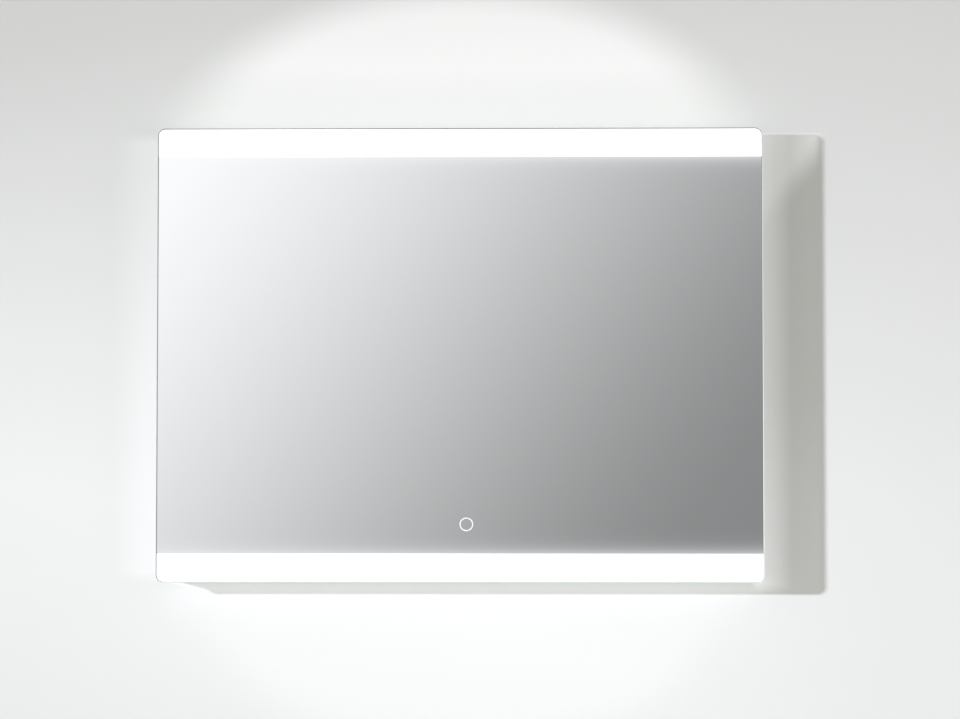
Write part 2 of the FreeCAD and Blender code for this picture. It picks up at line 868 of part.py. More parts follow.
def terminal_box_and_lid():
    x, z = terminal_limits()
    body, lid = tray(x, z, terminal_depth)
    floor = (y_panel - case_wall, y_panel)
    tapped = screw_radius + thread_clearance
    holes = [rod_y(tapped, at, h, floor) for at, h in terminal_screw_places()]
    holes.append(rod_z(cord_hole_radius, terminal_from_middle, y_lead, (z[0], z[0] + case_wall)))
    mains = (x[1] - case_wall, x[1])
    holes.append(rod_x(mains_radius + lead_clearance, y_lead, z_driver, mains))
    return body.cut(holes), lid


def pole_heights():
    return [z_driver - pole_spacing / 2, z_driver + pole_spacing / 2]


def block_ends():
    half = block_length / 2
    return (terminal_from_middle - half, terminal_from_middle + half)


def clamp_places():
    places = [terminal_from_middle - clamp_spacing / 2, terminal_from_middle + clamp_spacing / 2]
    return [(x, z) for x in places for z in pole_heights()]


def terminal_block():
    """A two-pole block with through bores for the sleeves and wells for the clamping screws."""
    floor = y_panel - case_wall
    y = (floor, floor - block_depth)
    z = (z_driver - block_width / 2, z_driver + block_width / 2)
    body = box(block_ends(), y, z)
    bore = sleeve_radius + thread_clearance
    cuts = [rod_x(bore, y_lead, height, block_ends()) for height in pole_heights()]
    well = clamp_radius + thread_clearance
    cuts += [rod_y(well, x, height, (y_lead, y[1])) for x, height in clamp_places()]
    cuts.append(rod_y(screw_radius + thread_clearance, terminal_from_middle, z_driver, y))
    return body.cut(cuts)


def terminal_sleeves():
    sleeves = []
    for height in pole_heights():
        tube = rod_x(sleeve_radius, y_lead, height, block_ends())
        bore = rod_x(sleeve_bore_radius, y_lead, height, block_ends())
        well = clamp_radius + thread_clearance
        taps = [
            rod_y(well, x, z, (y_lead, y_lead - sleeve_radius - 1))
            for x, z in clamp_places()
            if z == height
        ]
        sleeves.append(tube.cut([bore] + taps))
    return sleeves


def terminal_clamps():
    """Slotted clamping screws, down to the cores."""
    top = y_panel - case_wall - block_depth + clamp_head_gap
    tip = y_lead - core_radius
    screws = []
    for x, z in clamp_places():
        pin = rod_y(clamp_radius, x, z, (tip, top))
        cut_z = (z - clamp_slot / 2, z + clamp_slot / 2)
        slot = box((x - clamp_radius, x + clamp_radius), (top, top + clamp_slot_depth), cut_z)
        screws.append(pin.cut(slot))
    return screws


def terminal_fixings():
    floor = y_panel - case_wall
    through = case_wall + panel_thickness + screw_tip
    (x, z), *corners = terminal_screw_places()
    long_screw = pan_screw(x, z, floor - block_depth, -1, block_depth + through)
    return [long_screw] + [pan_screw(at, h, floor, -1, through) for at, h in corners]


def cord_bushing():
    """The strain-relief bushing that the supply cord passes through, snapped into the panel."""
    y_flange = y_panel_back + bushing_flange
    y_tip = y_flange - bushing_length
    y_barb = y_panel - bushing_barb
    outline = [
        (bushing_bore_radius, y_flange), (bushing_flange_radius - bushing_bevel, y_flange),
        (bushing_flange_radius, y_flange - bushing_bevel), (bushing_flange_radius, y_panel_back),
        (bushing_neck_radius, y_panel_back), (bushing_neck_radius, y_panel),
        (bushing_barb_radius, y_panel), (bushing_neck_radius, y_barb),
        (bushing_neck_radius, y_tip), (bushing_bore_radius, y_tip),
    ]
    return turned_y(outline, terminal_from_middle, z_bushing)


# ------------------------------------------------------------------ touch sensor
y_sensor = y_tape + sensor_tape
y_sensor_cover = y_tape + sensor_tape + sensor_depth - sensor_wall
y_sensor_board = y_sensor + sensor_wall + sensor_post
y_sensor_board_rear = y_sensor_board + sensor_board_thickness
y_sensor_lead = (y_sensor_board_rear + y_sensor_cover) / 2
window_radius = ring_outer_radius + sensor_window_gap


def sensor_limits(inset=0.0):
    half_x = sensor_length / 2 - inset
    half_z = sensor_height / 2 - inset
    x = (ring_right_of_middle - half_x, ring_right_of_middle + half_x)
    return x, (z_ring - half_z, z_ring + half_z)


def sensor_window(y):
    return rod_y(window_radius, ring_right_of_middle, z_ring, y)


def sensor_bonding():
    """Adhesive foam between the sensor and the backing, open behind the ring."""
    x, z = sensor_limits()
    y = (y_tape, y_sensor)
    return box(x, y, z).cut(sensor_window(y))


def sensor_housing():
    x, z = sensor_limits()
    inner_x, inner_z = sensor_limits(sensor_wall)
    front = (y_sensor, y_sensor + sensor_wall)
    shell = box(x, (y_sensor, y_sensor_cover), z)
    cuts = [box(inner_x, (front[1], y_sensor_cover), inner_z), sensor_window(front)]
    half = lead_radius + lead_clearance
    low = (y_sensor_lead - half, y_sensor_cover)
    for offset in (-sensor_lead_offset, sensor_lead_offset):
        at = ring_right_of_middle + offset
        cuts.append(box((at - half, at + half), low, (inner_z[1], z[1])))
    cuts.append(box((inner_x[1], x[1]), low, (z_ring - half, z_ring + half)))
    posts = [rod_y(sensor_post_radius, a, b, (front[1], y_sensor_board)) for a, b in post_places()]
    return joined([shell.cut(cuts)] + posts)


def post_places():
    x, z = sensor_limits(sensor_wall + sensor_board_gap + sensor_post_radius)
    return [(a, b) for a in x for b in z]


def sensor_cover():
    x, z = sensor_limits()
    return box(x, (y_sensor_cover, y_sensor_cover + sensor_wall), z)


def sensor_board():
    x, z = sensor_limits(sensor_wall + sensor_board_gap)
    return box(x, (y_sensor_board, y_sensor_board_rear), z)


def sensor_light_ring():
    """A clear ring that carries the light of the sensor's LEDs to the bare ring of the glass."""
    y = (y_tape, y_sensor_board - sensor_led)
    outer = window_radius - sensor_ring_gap
    inner = ring_outer_radius - ring_line - sensor_ring_gap
    ring = rod_y(outer, ring_right_of_middle, z_ring, y)
    return ring.cut(rod_y(inner, ring_right_of_middle, z_ring, y))


def sensor_leds():
    """Four small LEDs between the board and the light ring."""
    radius = ring_outer_radius - ring_line / 2
    y = (y_sensor_board - sensor_led, y_sensor_board)
    half = sensor_led_length / 2
    leds = []
    for quarter in range(4):
        angle = math.pi / 4 + quarter * math.pi / 2
        x = ring_right_of_middle + radius * math.cos(angle)
        z = z_ring + radius * math.sin(angle)
        chip = box((x - half, x + half), y, (z - half / 2, z + half / 2))
        chip.rotate(V(x, 0, z), V(0, 1, 0), -math.degrees(angle) - 90)
        leds.append(chip)
    return leds


def sensor_electrode():
    """The conductive pad from the board to the disc of silver inside the ring."""
    radius = ring_outer_radius - ring_line - electrode_gap
    return rod_y(radius, ring_right_of_middle, z_ring, (y_tape, y_sensor_board))


def sensor_connectors():
    """Three lead connectors on the rear of the board: two by its top edge, one by its right."""
    inner_x, inner_z = sensor_limits(sensor_wall + sensor_board_gap + connector_gap)
    y = (y_sensor_board_rear, y_sensor_cover - connector_gap)
    half = connector_width / 2
    blocks = []
    for offset in (-sensor_lead_offset, sensor_lead_offset):
        at = ring_right_of_middle + offset
        z = (inner_z[1] - connector_length, inner_z[1])
        blocks.append(box((at - half, at + half), y, z))
    x = (inner_x[1] - connector_length, inner_x[1])
    blocks.append(box(x, y, (z_ring - half, z_ring + half)))
    return blocks


# ------------------------------------------------------------------ leads and clips
def lead(name, points, radius):
    """A round lead along straight runs joined by tangent arcs, which prints its bends."""
    corners = [V(*point) for point in points]
    edges = []
    start = corners[0]
    bends = []
    for before, corner, after in zip(corners, corners[1:], corners[2:]):
        back = before - corner
        ahead = after - corner
        half_turn = (math.pi - back.getAngle(ahead)) / 2
        shorter = min(back.Length, ahead.Length)
        bend = min(0.45 * shorter / math.tan(half_turn), largest_bend)
        reach = bend * math.tan(half_turn)
        entry = corner + back * (reach / back.Length)
        leave = corner + ahead * (reach / ahead.Length)
        inward = (entry + leave) * 0.5 - corner
        depth = bend / math.cos(half_turn) - bend
        middle = corner + inward * (depth / inward.Length)
        edges.append(Part.LineSegment(start, entry).toShape())
        edges.append(Part.Arc(entry, middle, leave).toShape())
        bends.append(round(bend, 1))
        start = leave
    edges.append(Part.LineSegment(start, corners[-1]).toShape())
    path = Part.Wire(edges)
    direction = corners[1] - corners[0]
    ring = Part.Wire(Part.makeCircle(radius, corners[0], direction))
    tube = path.makePipeShell([ring], True, False)
    expected = math.pi * radius**2 * path.Length
    print(name, "length", round(path.Length, 1), "bends", bends, "volume", tube.Volume / expected)
    return tube


def clip(x, z, radius, level=True):
    """A self-adhesive clip on the back panel, round a lead that runs level or upright."""
    base_y = (y_panel, y_panel - clip_base_thickness)
    half = clip_base / 2
    base = box((x - half, x + half), base_y, (z - half, z + half))
    top = y_lead - radius - clip_wall
    wide = radius + clip_wall
    post = box((x - clip_length / 2, x + clip_length / 2), (base_y[1], top), (z - wide, z + wide))
    hole = rod_x(radius + lead_clearance, y_lead, z, (x - clip_length, x + clip_length))
    shape = joined([base, post.cut(hole)])
    if not level:
        shape.rotate(V(x, 0, z), V(0, 1, 0), 90)
    return shape


x_driver_input = driver_board_limits()[0][0]
x_driver_output = driver_board_limits()[0][1]
x_mains_start = terminal_limits()[0][1] - case_wall - jacket_reach
x_supply = ring_right_of_middle - sensor_lead_offset
x_top_lead = ring_right_of_middle + sensor_lead_offset
z_top_lead = z_middle + top_lead_above_middle
z_bottom_lead = z_ring + bottom_lead_above_ring
z_sensor_plug = sensor_limits(sensor_wall + sensor_board_gap + connector_gap)[1][1]
x_sensor_plug = sensor_limits(sensor_wall + sensor_board_gap + connector_gap)[0][1]
z_sensor_foot = z_sensor_plug + sensor_straight
z_sensor_head = z_sensor_foot + sensor_slope
x_sensor_foot = x_sensor_plug + sensor_side_straight
x_sensor_head = x_sensor_foot + sensor_slope
z_feed_top = z_middle + half_shelf + feed_depth
z_feed_bottom = z_middle - half_shelf - feed_depth


def lead_mains():
    """The jacketed lead from the terminal box to the driver, straight."""
    return rod_x(mains_radius, y_lead, z_driver, (x_mains_start, x_driver_input))


def mains_cores():
    """The two cores between the end of the jacket and the sleeves."""
    mouth = block_ends()[1]
    first = x_mains_start - (x_mains_start - mouth) / 3
    cores = []
    for side in (-1, 1):
        near = z_driver + side * core_spacing / 2
        far = z_driver + side * pole_spacing / 2
        points = [
            (x_mains_start, y_lead, near), (first, y_lead, near),
            (mouth + core_reach / 3, y_lead, far), (mouth - core_reach, y_lead, far),
        ]
        cores.append(lead("core", points, core_radius))
    return cores


def lead_supply():
    """From the driver's output to the sensor, down along the back panel and over to the glass."""
    points = [
        (x_driver_output, y_lead, z_driver), (x_supply, y_lead, z_driver),
        (x_supply, y_lead, z_sensor_head), (x_supply, y_sensor_lead, z_sensor_foot),
        (x_supply, y_sensor_lead, z_sensor_plug),
    ]
    return lead("lead_supply", points, lead_radius)


def lead_top():
    """From the sensor up to the feed of the top LED board."""
    points = [
        (x_top_lead, y_sensor_lead, z_sensor_plug), (x_top_lead, y_sensor_lead, z_sensor_foot),
        (x_top_lead, y_lead, z_sensor_head), (x_top_lead, y_lead, z_top_lead),
        (feed_x, y_lead, z_top_lead), (feed_x, y_lead, z_feed_top),
    ]
    return lead("lead_top", points, lead_radius)


def lead_bottom():
    """From the sensor across and down to the feed of the bottom LED board."""
    points = [
        (x_sensor_plug, y_sensor_lead, z_ring), (x_sensor_foot, y_sensor_lead, z_ring),
        (x_sensor_head, y_lead, z_bottom_lead), (feed_x, y_lead, z_bottom_lead),
        (feed_x, y_lead, z_feed_bottom),
    ]
    return lead("lead_bottom", points, lead_radius)


def lead_clips():
    """The clips, each on the middle or a third of a straight run."""
    x_mains = (terminal_limits()[0][1] + driver_limits()[0][0]) / 2
    clips = [clip(x_mains, z_driver, mains_radius)]
    upright = z_driver - z_sensor_head
    for share in (0.3, 0.7):
        height = z_sensor_head + upright * share
        clips.append(clip(x_supply, height, lead_radius, level=False))
        clips.append(clip(x_top_lead, height, lead_radius, level=False))
    for share in (0.25, 0.75):
        x = x_top_lead + (feed_x - x_top_lead) * share
        clips.append(clip(x, z_top_lead, lead_radius))
    for share in (0.25, 0.6):
        x = x_sensor_head + (feed_x - x_sensor_head) * share
        clips.append(clip(x, z_bottom_lead, lead_radius))
    return clips


# ------------------------------------------------------------------ the nodes
def main():
    os.makedirs("parts", exist_ok=True)
    save("mirror_glass", mirror_glass())
    save("mirror_backing", mirror_backing())
    save("glass_tapes", glass_tapes())
    right = side_profile()
    save("side_profile_right", right)
    save("side_profile_left", other_side(right))
    for name, make in (
        ("light_channel", light_channel),
        ("diffuser", diffuser),
        ("led_board", led_board),
    ):
        top = make()
        save(name + "_top", top)
        save(name + "_bottom", upside_down(top))
    chips = led_chips()
    save("led_chips_top", chips)
    save("led_chips_bottom", [upside_down(chip) for chip in chips])
    feed = strip_feed()
    save("strip_feeds", [feed, upside_down(feed)])
    save("end_plugs", four_corners(end_plug()))
    save("corner_brackets", four_corners(corner_bracket()))
    save("bracket_grub_screws", [s for screw in grub_screws() for s in four_corners(screw)])
    save("back_panel", back_panel())
    save("panel_screws", panel_screws())
    save("hanger_rail", hanger_rail())
    save("hanger_rivets", hanger_rivets())
    save("wall_rail", wall_rail())
    save("wall_bumpers", wall_bumpers())
    save("bumper_screws", bumper_screws())
    case, lid = driver_case_and_lid()
    save("driver_case", case)
    save("driver_lid", lid)
    save("driver_board", driver_board())
    save("driver_components", driver_components())
    save("driver_screws", driver_screws())
    case, lid = terminal_box_and_lid()
    save("terminal_box", case)
    save("terminal_box_lid", lid)
    save("terminal_block", terminal_block())
    save("terminal_sleeves", terminal_sleeves())
    save("terminal_clamps", terminal_clamps())
    save("terminal_fixings", terminal_fixings())
    save("cord_bushing", cord_bushing())
    save("sensor_bonding", sensor_bonding())
    save("sensor_housing", sensor_housing())
    save("sensor_cover", sensor_cover())
    save("sensor_board", sensor_board())
    save("sensor_light_ring", sensor_light_ring())
    save("sensor_leds", sensor_leds())
    save("sensor_electrode", sensor_electrode())
    save("sensor_connectors", sensor_connectors())
    save("lead_mains", lead_mains())
    save("mains_cores", mains_cores())
    save("lead_supply", lead_supply())
    save("lead_top", lead_top())
    save("lead_bottom", lead_bottom())
    save("lead_clips", lead_clips())


main()
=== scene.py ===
# %% [markdown]
# # A lighted bathroom mirror
#
# A sheet of silvered glass, 800 by 600 mm, hangs on a rail. Along its top and bottom edges the
# silver is left away, and a lit opal profile shines through the bare glass. The same profiles
# light the wall above and below. A thin ring near the bottom marks the touch switch.
#
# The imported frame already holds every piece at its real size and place. This lesson dresses it:
# it models the glass anew, gives each piece its finish, and sets up the wall, lamps and camera.

# %% Load the frame
import math

import bmesh
import bpy
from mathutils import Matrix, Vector


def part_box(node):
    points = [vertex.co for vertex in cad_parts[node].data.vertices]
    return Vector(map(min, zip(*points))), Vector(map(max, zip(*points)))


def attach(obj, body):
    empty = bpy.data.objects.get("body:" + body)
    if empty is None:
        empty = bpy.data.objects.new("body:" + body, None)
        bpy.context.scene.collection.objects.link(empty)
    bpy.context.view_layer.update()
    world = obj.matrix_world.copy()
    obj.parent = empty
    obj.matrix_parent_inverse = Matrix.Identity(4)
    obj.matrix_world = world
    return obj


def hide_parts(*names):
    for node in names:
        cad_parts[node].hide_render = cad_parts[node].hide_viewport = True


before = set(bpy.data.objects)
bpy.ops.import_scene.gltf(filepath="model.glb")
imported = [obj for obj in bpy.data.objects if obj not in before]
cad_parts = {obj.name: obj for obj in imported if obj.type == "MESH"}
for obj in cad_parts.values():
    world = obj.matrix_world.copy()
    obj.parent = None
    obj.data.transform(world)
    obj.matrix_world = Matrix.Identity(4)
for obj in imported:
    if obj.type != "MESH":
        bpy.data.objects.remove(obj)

bpy.context.view_layer.update()
bpy.ops.object.select_all(action="DESELECT")

# %% [markdown]
# ## Sizes to work from
#
# Everything lines up with the silver: its outline says where the bare bands start, and the ring
# sits in front of the clear ring that lights it. So these few values are read from the frame,
# and the rest of the lesson is worked out from them. Blender works in metres.

# %% Key places
mm = 0.001

glass_low, glass_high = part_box("mirror_glass")
silver_low, silver_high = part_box("mirror_backing")
glass_middle = (glass_low + glass_high) / 2
half_silver = (silver_high.z - silver_low.z) / 2
clear_rim = glass_high.x - silver_high.x

ring_low, ring_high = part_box("sensor_light_ring")
ring_middle = (ring_low + ring_high) / 2

print("bare band height, mm:", round((glass_high.z - silver_high.z) / mm, 1))
print("ring at, mm:", round(ring_middle.x / mm, 1), round(ring_middle.z / mm, 1))

# %% [markdown]
# ## Three helpers for finishes
#
# Colours are easiest to pick as the hex codes of a screen, but shaders count light in linear
# steps, so one function turns a code into linear values. A second fills a node's sockets, each
# with a plain value or with a link, and a third adds any node, sets it and fills it. That keeps
# each finish below short enough to read as a recipe.
#
# Sockets that share a name go by number. A Map Range node takes its value at 0, the range that
# it comes from at 1 and 2, and the range that it goes to at 3 and 4. A Mix node takes the share
# at 0, and then two numbers at 2 and 3, or two colours at 6 and 7, which it mixes to output 2.

# %% Colour and node helpers
def linear(code):
    """The linear red, green, blue and alpha of an sRGB hex code."""
    shares = [int(code[i:i + 2], 16) / 255 for i in (1, 3, 5)]
    return [s / 12.92 if s <= 0.04045 else ((s + 0.055) / 1.055) ** 2.4 for s in shares] + [1.0]


def connect(tree, node, sockets):
    """Gives each socket a value, or a link from an output or from a node's first output."""
    for name, value in sockets.items():
        if isinstance(value, bpy.types.Node):
            value = value.outputs[0]
        if isinstance(value, bpy.types.NodeSocket):
            tree.links.new(value, node.inputs[name])
        else:
            node.inputs[name].default_value = value


def add(tree, kind, sockets=None, **settings):
    """Adds a node of any kind, with its settings, and fills its sockets."""
    node = tree.nodes.new("ShaderNode" + kind)
    for name, value in settings.items():
        setattr(node, name, value)
    connect(tree, node, sockets or {})
    return node


print("a grey of #808080 is, in linear steps:", round(linear("#808080")[0], 3))

# %% [markdown]
# Every finish starts the same way: a Principled shader, and the place on the piece in metres.
# Object coordinates are right here, because each piece keeps its place in its mesh, so a
# pattern stays put when the mirror is lifted.
#
# Most real finishes are one pattern doing three things at once: the same fleck that is a shade
# darker is also a little rougher and a little lower. `spread_over` gives a pattern those three.
# In most finishes here that pattern is one soft noise, and `mottled` makes such a finish whole.

# %% Start a finish
finishes = {}


def start_finish(name, even_values=None):
    """A material with its shader, what is even all over, and the place on the piece."""
    material = bpy.data.materials.new(name)
    material.use_nodes = True
    tree = material.node_tree
    tree.nodes.clear()
    shader = add(tree, "BsdfPrincipled", even_values)
    add(tree, "OutputMaterial", {"Surface": shader})
    finishes[name] = material
    print("finish:", name)
    return tree, shader, add(tree, "TexCoord").outputs["Object"]


print("finishes to begin with:", len(finishes))

# %% Spread a pattern over a finish
pattern_low = 0.3        # noise hardly ever leaves this range, so it is stretched to 0 and 1
pattern_high = 0.7


def spread_over(tree, shader, pattern, colours=None, roughness=None, relief=None):
    """Lets a pattern vary the colour, the roughness and the height of a finish."""
    even = add(tree, "MapRange", {0: pattern, 1: pattern_low, 2: pattern_high})
    if colours:
        tints = {0: even, 6: linear(colours[0]), 7: linear(colours[1])}
        mixed = add(tree, "Mix", tints, data_type="RGBA").outputs[2]
        connect(tree, shader, {"Base Color": mixed})
    if roughness:
        rough = add(tree, "MapRange", {0: even, 3: roughness[0], 4: roughness[1]})
        connect(tree, shader, {"Roughness": rough})
    if relief:
        bump = add(tree, "Bump", {"Height": even, "Distance": relief, "Strength": 0.5})
        connect(tree, shader, {"Normal": bump})


def per_metre(size):
    """The scale of a pattern whose features are this large, in millimetres."""
    return 1000 / size


def mottled(name, feature, detail, colours, roughness, relief=None, metallic=0.0, stretch=None):
    """A finish that one soft noise varies, with features of a size in millimetres."""
    tree, shader, place = start_finish(name, {"Metallic": metallic})
    drawn = add(tree, "Mapping", {"Vector": place, "Scale": stretch}) if stretch else place
    noise = add(tree, "TexNoise", {"Vector": drawn, "Scale": per_metre(feature), "Detail": detail})
    spread_over(tree, shader, noise, colours, roughness, relief)
    return tree, shader, place


print("features of 2 mm come", per_metre(2.0), "times in a metre")

# %% [markdown]
# ## Anodised aluminium
#
# The side profiles, the light channels and the two rails are extruded, etched and anodised.
# The die leaves fine lines along the bar, and the etch turns the metal satin, so a lamp draws
# out into a soft streak across the lines. A noise stretched along the bar gives those lines.
# Real ones are about 0.3 mm apart, which no render here can show, so they are drawn at 2 mm.

# %% Anodised extrusions, with their lines along X or along Z
line_stretch = 1 / 80

for name, stretch in (
    ("anodised_bar_along_x", (line_stretch, 1, 1)),
    ("anodised_bar_along_z", (1, 1, line_stretch)),
):
    mottled(
        name, feature=2.0, detail=3.0, metallic=1.0, stretch=stretch,
        colours=("#C3C6C9", "#D0D3D4"), roughness=(0.33, 0.43), relief=0.02 * mm,
    )

# %% [markdown]
# ## Powder-coated steel
#
# The back panel is steel sheet with a light grey polyester powder, baked on. The powder flows
# out into a shallow orange peel, 2 to 4 mm across, which breaks up every highlight, and large
# panels come out of the oven a touch cloudy. So there is one broad pattern and one fine one.

# %% Powder coat
peel_size = 3.5
peel_depth = 0.15 * mm

tree, shader, place = mottled(
    "powder_coat", feature=140.0, detail=2.0,
    colours=("#D0D3D3", "#D6D9D8"), roughness=(0.44, 0.53),
)
peel = add(tree, "TexNoise", {"Vector": place, "Scale": per_metre(peel_size), "Detail": 1.0})
skin = add(tree, "Bump", {"Height": peel, "Distance": peel_depth, "Strength": 0.6})
connect(tree, shader, {"Normal": skin})

# %% [markdown]
# ## Bright zinc and brass
#
# Screws, rivets and corner brackets are zinc-plated and passivated. The film is so thin that it
# tints the metal bluish in one place and straw-coloured in the next. The terminal's sleeves are
# turned brass, which is left plain. Both keep a metal's default IOR.

# %% Zinc plate and turned brass
mottled(
    "zinc_plate", feature=7.0, detail=4.0, metallic=1.0,
    colours=("#AEB5BF", "#C6C4B8"), roughness=(0.2, 0.38), relief=0.01 * mm,
)
mottled(
    "turned_brass", feature=1.5, detail=3.0, metallic=1.0,
    colours=("#B9964C", "#D3B26B"), roughness=(0.22, 0.34),
)

# %% [markdown]
# ## Rubber and foam
#
# The wall bumpers and the cord's bushing are moulded rubber, nearly black, with a faint grey
# bloom that comes to the surface with age. The bonding tapes are closed-cell foam: pale, matt,
# and full of small cells, which a Voronoi pattern gives. The foam of the touch electrode is the
# same stuff, made conductive, which turns it dark grey.

# %% Rubber, tape and conductive foam
mottled(
    "moulded_rubber", feature=5.0, detail=6.0,
    colours=("#17171A", "#2B2B2D"), roughness=(0.68, 0.9), relief=0.05 * mm,
)

foam_cell = 1.2
for name, dark, pale in (
    ("foam_tape", "#D6D4CC", "#E8E6DF"),
    ("conductive_foam", "#3D3E42", "#55565A"),
):
    tree, shader, place = start_finish(name)
    cells = add(tree, "TexVoronoi", {"Vector": place, "Scale": per_metre(foam_cell)})
    spread_over(tree, shader, cells, (dark, pale), roughness=(0.82, 0.95), relief=0.08 * mm)

# %% [markdown]
# ## Moulded plastics and cable jackets
#
# The driver, the terminal box and the sensor have cases of white ABS, moulded in a tool with a
# spark-eroded grain, so they are dull and finely pebbled. The leads have soft PVC jackets,
# smooth and slightly wavy. Inside the terminal box the jacket is stripped and the two cores
# show, brown above and blue below.

# %% White ABS and PVC jackets
mottled(
    "moulded_abs", feature=1.0, detail=5.0,
    colours=("#E1E0DA", "#EBEAE6"), roughness=(0.45, 0.6), relief=0.04 * mm,
)
mottled(
    "pvc_jacket", feature=6.0, detail=2.0,
    colours=("#D2D2CF", "#DFDFDC"), roughness=(0.36, 0.5), relief=0.05 * mm,
)

# %% The two cores
cores_low, cores_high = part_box("mains_cores")
between_cores = (cores_low.z + cores_high.z) / 2

tree, shader, place = start_finish("core_insulation", {"Roughness": 0.4})
height = add(tree, "SeparateXYZ", {0: place}).outputs["Z"]
upper = add(tree, "Math", {0: height, 1: between_cores}, operation="GREATER_THAN")
cores = {0: upper, 6: linear("#2F5C9E"), 7: linear("#6A4630")}
dyed = add(tree, "Mix", cores, data_type="RGBA").outputs[2]
connect(tree, shader, {"Base Color": dyed})

# %% [markdown]
# ## Circuit boards and their components
#
# The LED boards are aluminium under a white solder mask, which throws the light forward. They
# can be cut after every sixth LED, and each cut is marked by a thin line across the board.
# The driver's and sensor's boards are glass-epoxy under a green mask: the copper tracks show
# through as a lighter, raised maze, which thin Voronoi edges draw. The components are moulded
# in black epoxy, and the LEDs are white bodies filled with yellow phosphor.

# %% White solder mask with cut lines
led_pitch = 1 / 60
leds_per_cut = 6
cut_line = 0.6 * mm

tree, shader, place = start_finish("white_solder_mask", {"Roughness": 0.35})
along = add(tree, "SeparateXYZ", {0: place}).outputs["X"]
from_cut = add(tree, "Math", {0: along, 1: led_pitch * leds_per_cut / 2}, operation="PINGPONG")
on_line = add(tree, "Math", {0: from_cut, 1: cut_line / 2}, operation="LESS_THAN")
marked = {0: on_line, 6: linear("#EFEEE9"), 7: linear("#C9A77C")}
mask = add(tree, "Mix", marked, data_type="RGBA").outputs[2]
connect(tree, shader, {"Base Color": mask})

# %% Green solder mask and black epoxy
track_gap = 4.0

tree, shader, place = start_finish("green_solder_mask")
maze = {"Vector": place, "Scale": per_metre(track_gap)}
tracks = add(tree, "TexVoronoi", maze, feature="DISTANCE_TO_EDGE")
spread_over(tree, shader, tracks, ("#2E7A4E", "#1B5434"), roughness=(0.25, 0.35), relief=0.03 * mm)

mottled(
    "black_epoxy", feature=1.2, detail=4.0,
    colours=("#121214", "#232326"), roughness=(0.38, 0.55), relief=0.03 * mm,
)

# %% [markdown]
# ## What shines
#
# The opal diffusers are extruded in milky PMMA. Each LED behind leaves a slightly brighter patch,
# one every 16.7 mm, and the light fades a little towards the closed ends. Both are worked out
# from the place along the profile. The emission stays a little below 1, so that the profile
# renders about as bright as white paper and still shows its corners.

# %% Opal diffusers
profile_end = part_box("diffuser_top")[1].x
end_fade = 25 * mm
glow_between_leds = 0.76
glow_over_leds = 0.82
share_at_end = 0.75

tree, shader, place = start_finish("opal_pmma", {"Base Color": linear("#D8D8D6"), "Roughness": 0.4})
along = add(tree, "SeparateXYZ", {0: place}).outputs["X"]
phase = add(tree, "Math", {0: along, 1: 2 * math.pi / led_pitch}, operation="MULTIPLY")
wave = add(tree, "Math", {0: phase}, operation="SINE")
patches = add(tree, "MapRange", {0: wave, 1: -1.0, 2: 1.0, 3: glow_between_leds, 4: glow_over_leds})
far = add(tree, "Math", {0: along}, operation="ABSOLUTE")
fade = {0: far, 1: profile_end - end_fade, 2: profile_end, 3: 1.0, 4: share_at_end}
ends = add(tree, "MapRange", fade, interpolation_type="SMOOTHSTEP")
lit = add(tree, "Math", {0: patches, 1: ends}, operation="MULTIPLY")
connect(tree, shader, {"Emission Color": linear("#FFFFFF"), "Emission Strength": lit})

# %% LEDs and the sensor's light ring
phosphor_grain = 2.0

tree, shader, place = start_finish("led_phosphor")
grains = add(tree, "TexVoronoi", {"Vector": place, "Scale": per_metre(phosphor_grain)})
spread_over(tree, shader, grains, ("#F6EBBB", "#F0D98A"), roughness=(0.3, 0.4))
connect(tree, shader, {"Emission Color": linear("#FFF8E0"), "Emission Strength": 1.0})

tree, shader, _ = mottled(
    "clear_acrylic", feature=4.0, detail=2.0,
    colours=("#E2E9E9", "#F2F6F6"), roughness=(0.08, 0.18),
)
connect(tree, shader, {"Emission Color": linear("#FFFFFF"), "Emission Strength": 0.4})

# %% [markdown]
# ## The back of the mirror
#
# Silver alone would tarnish, so it is covered by two coats of grey paint, poured on as a curtain.
# From behind, a narrow rim of that paint shows round the housing. It is dull, with long faint
# streaks in the direction in which the sheet ran through the curtain.

# %% Backing paint
streak_stretch = 1 / 20

mottled(
    "backing_paint", feature=3.0, detail=3.0, stretch=(streak_stretch, 1, 1),
    colours=("#696F72", "#757B7E"), roughness=(0.52, 0.68), relief=0.02 * mm,
)

# %% [markdown]
# ## Silvered glass, with the light that bleeds into it
#
# Seen from the front the sheet is one thing, a mirror: full metal, almost no roughness, and a
# very slight cool cast from the glass. Two details make it this mirror. Beside each bare band
# some light leaks sideways in the 5 mm of glass, so the silver glows there, a bit more at the
# upper band, and the glow dies away over about 7 mm. And float glass is never quite clean, so
# the roughness wanders a little, over patches of a few centimetres.
#
# How far a point lies inside the silver comes from its height alone, because both bands run the
# full width. The glow is an exponential of that distance. It covers the reflection instead of
# adding to it, so that it doesn't clip to white where the reflection is bright already.

# %% Distance inside the silver, as nodes
def inside_silver(tree, place):
    """The distance in metres from the nearest bare band, positive inside the silver."""
    height = add(tree, "SeparateXYZ", {0: place}).outputs["Z"]
    centred = add(tree, "Math", {0: height, 1: glass_middle.z}, operation="SUBTRACT")
    away = add(tree, "Math", {0: centred}, operation="ABSOLUTE")
    return add(tree, "Math", {0: half_silver, 1: away}, operation="SUBTRACT")


print("half the height of the silver, mm:", round(half_silver / mm, 1))

# %% Silvered glass
wiped_patch = 45.0
bleed_reach = 7 * mm
bleed_at_lower_band = 0.46
bleed_at_upper_band = 0.5

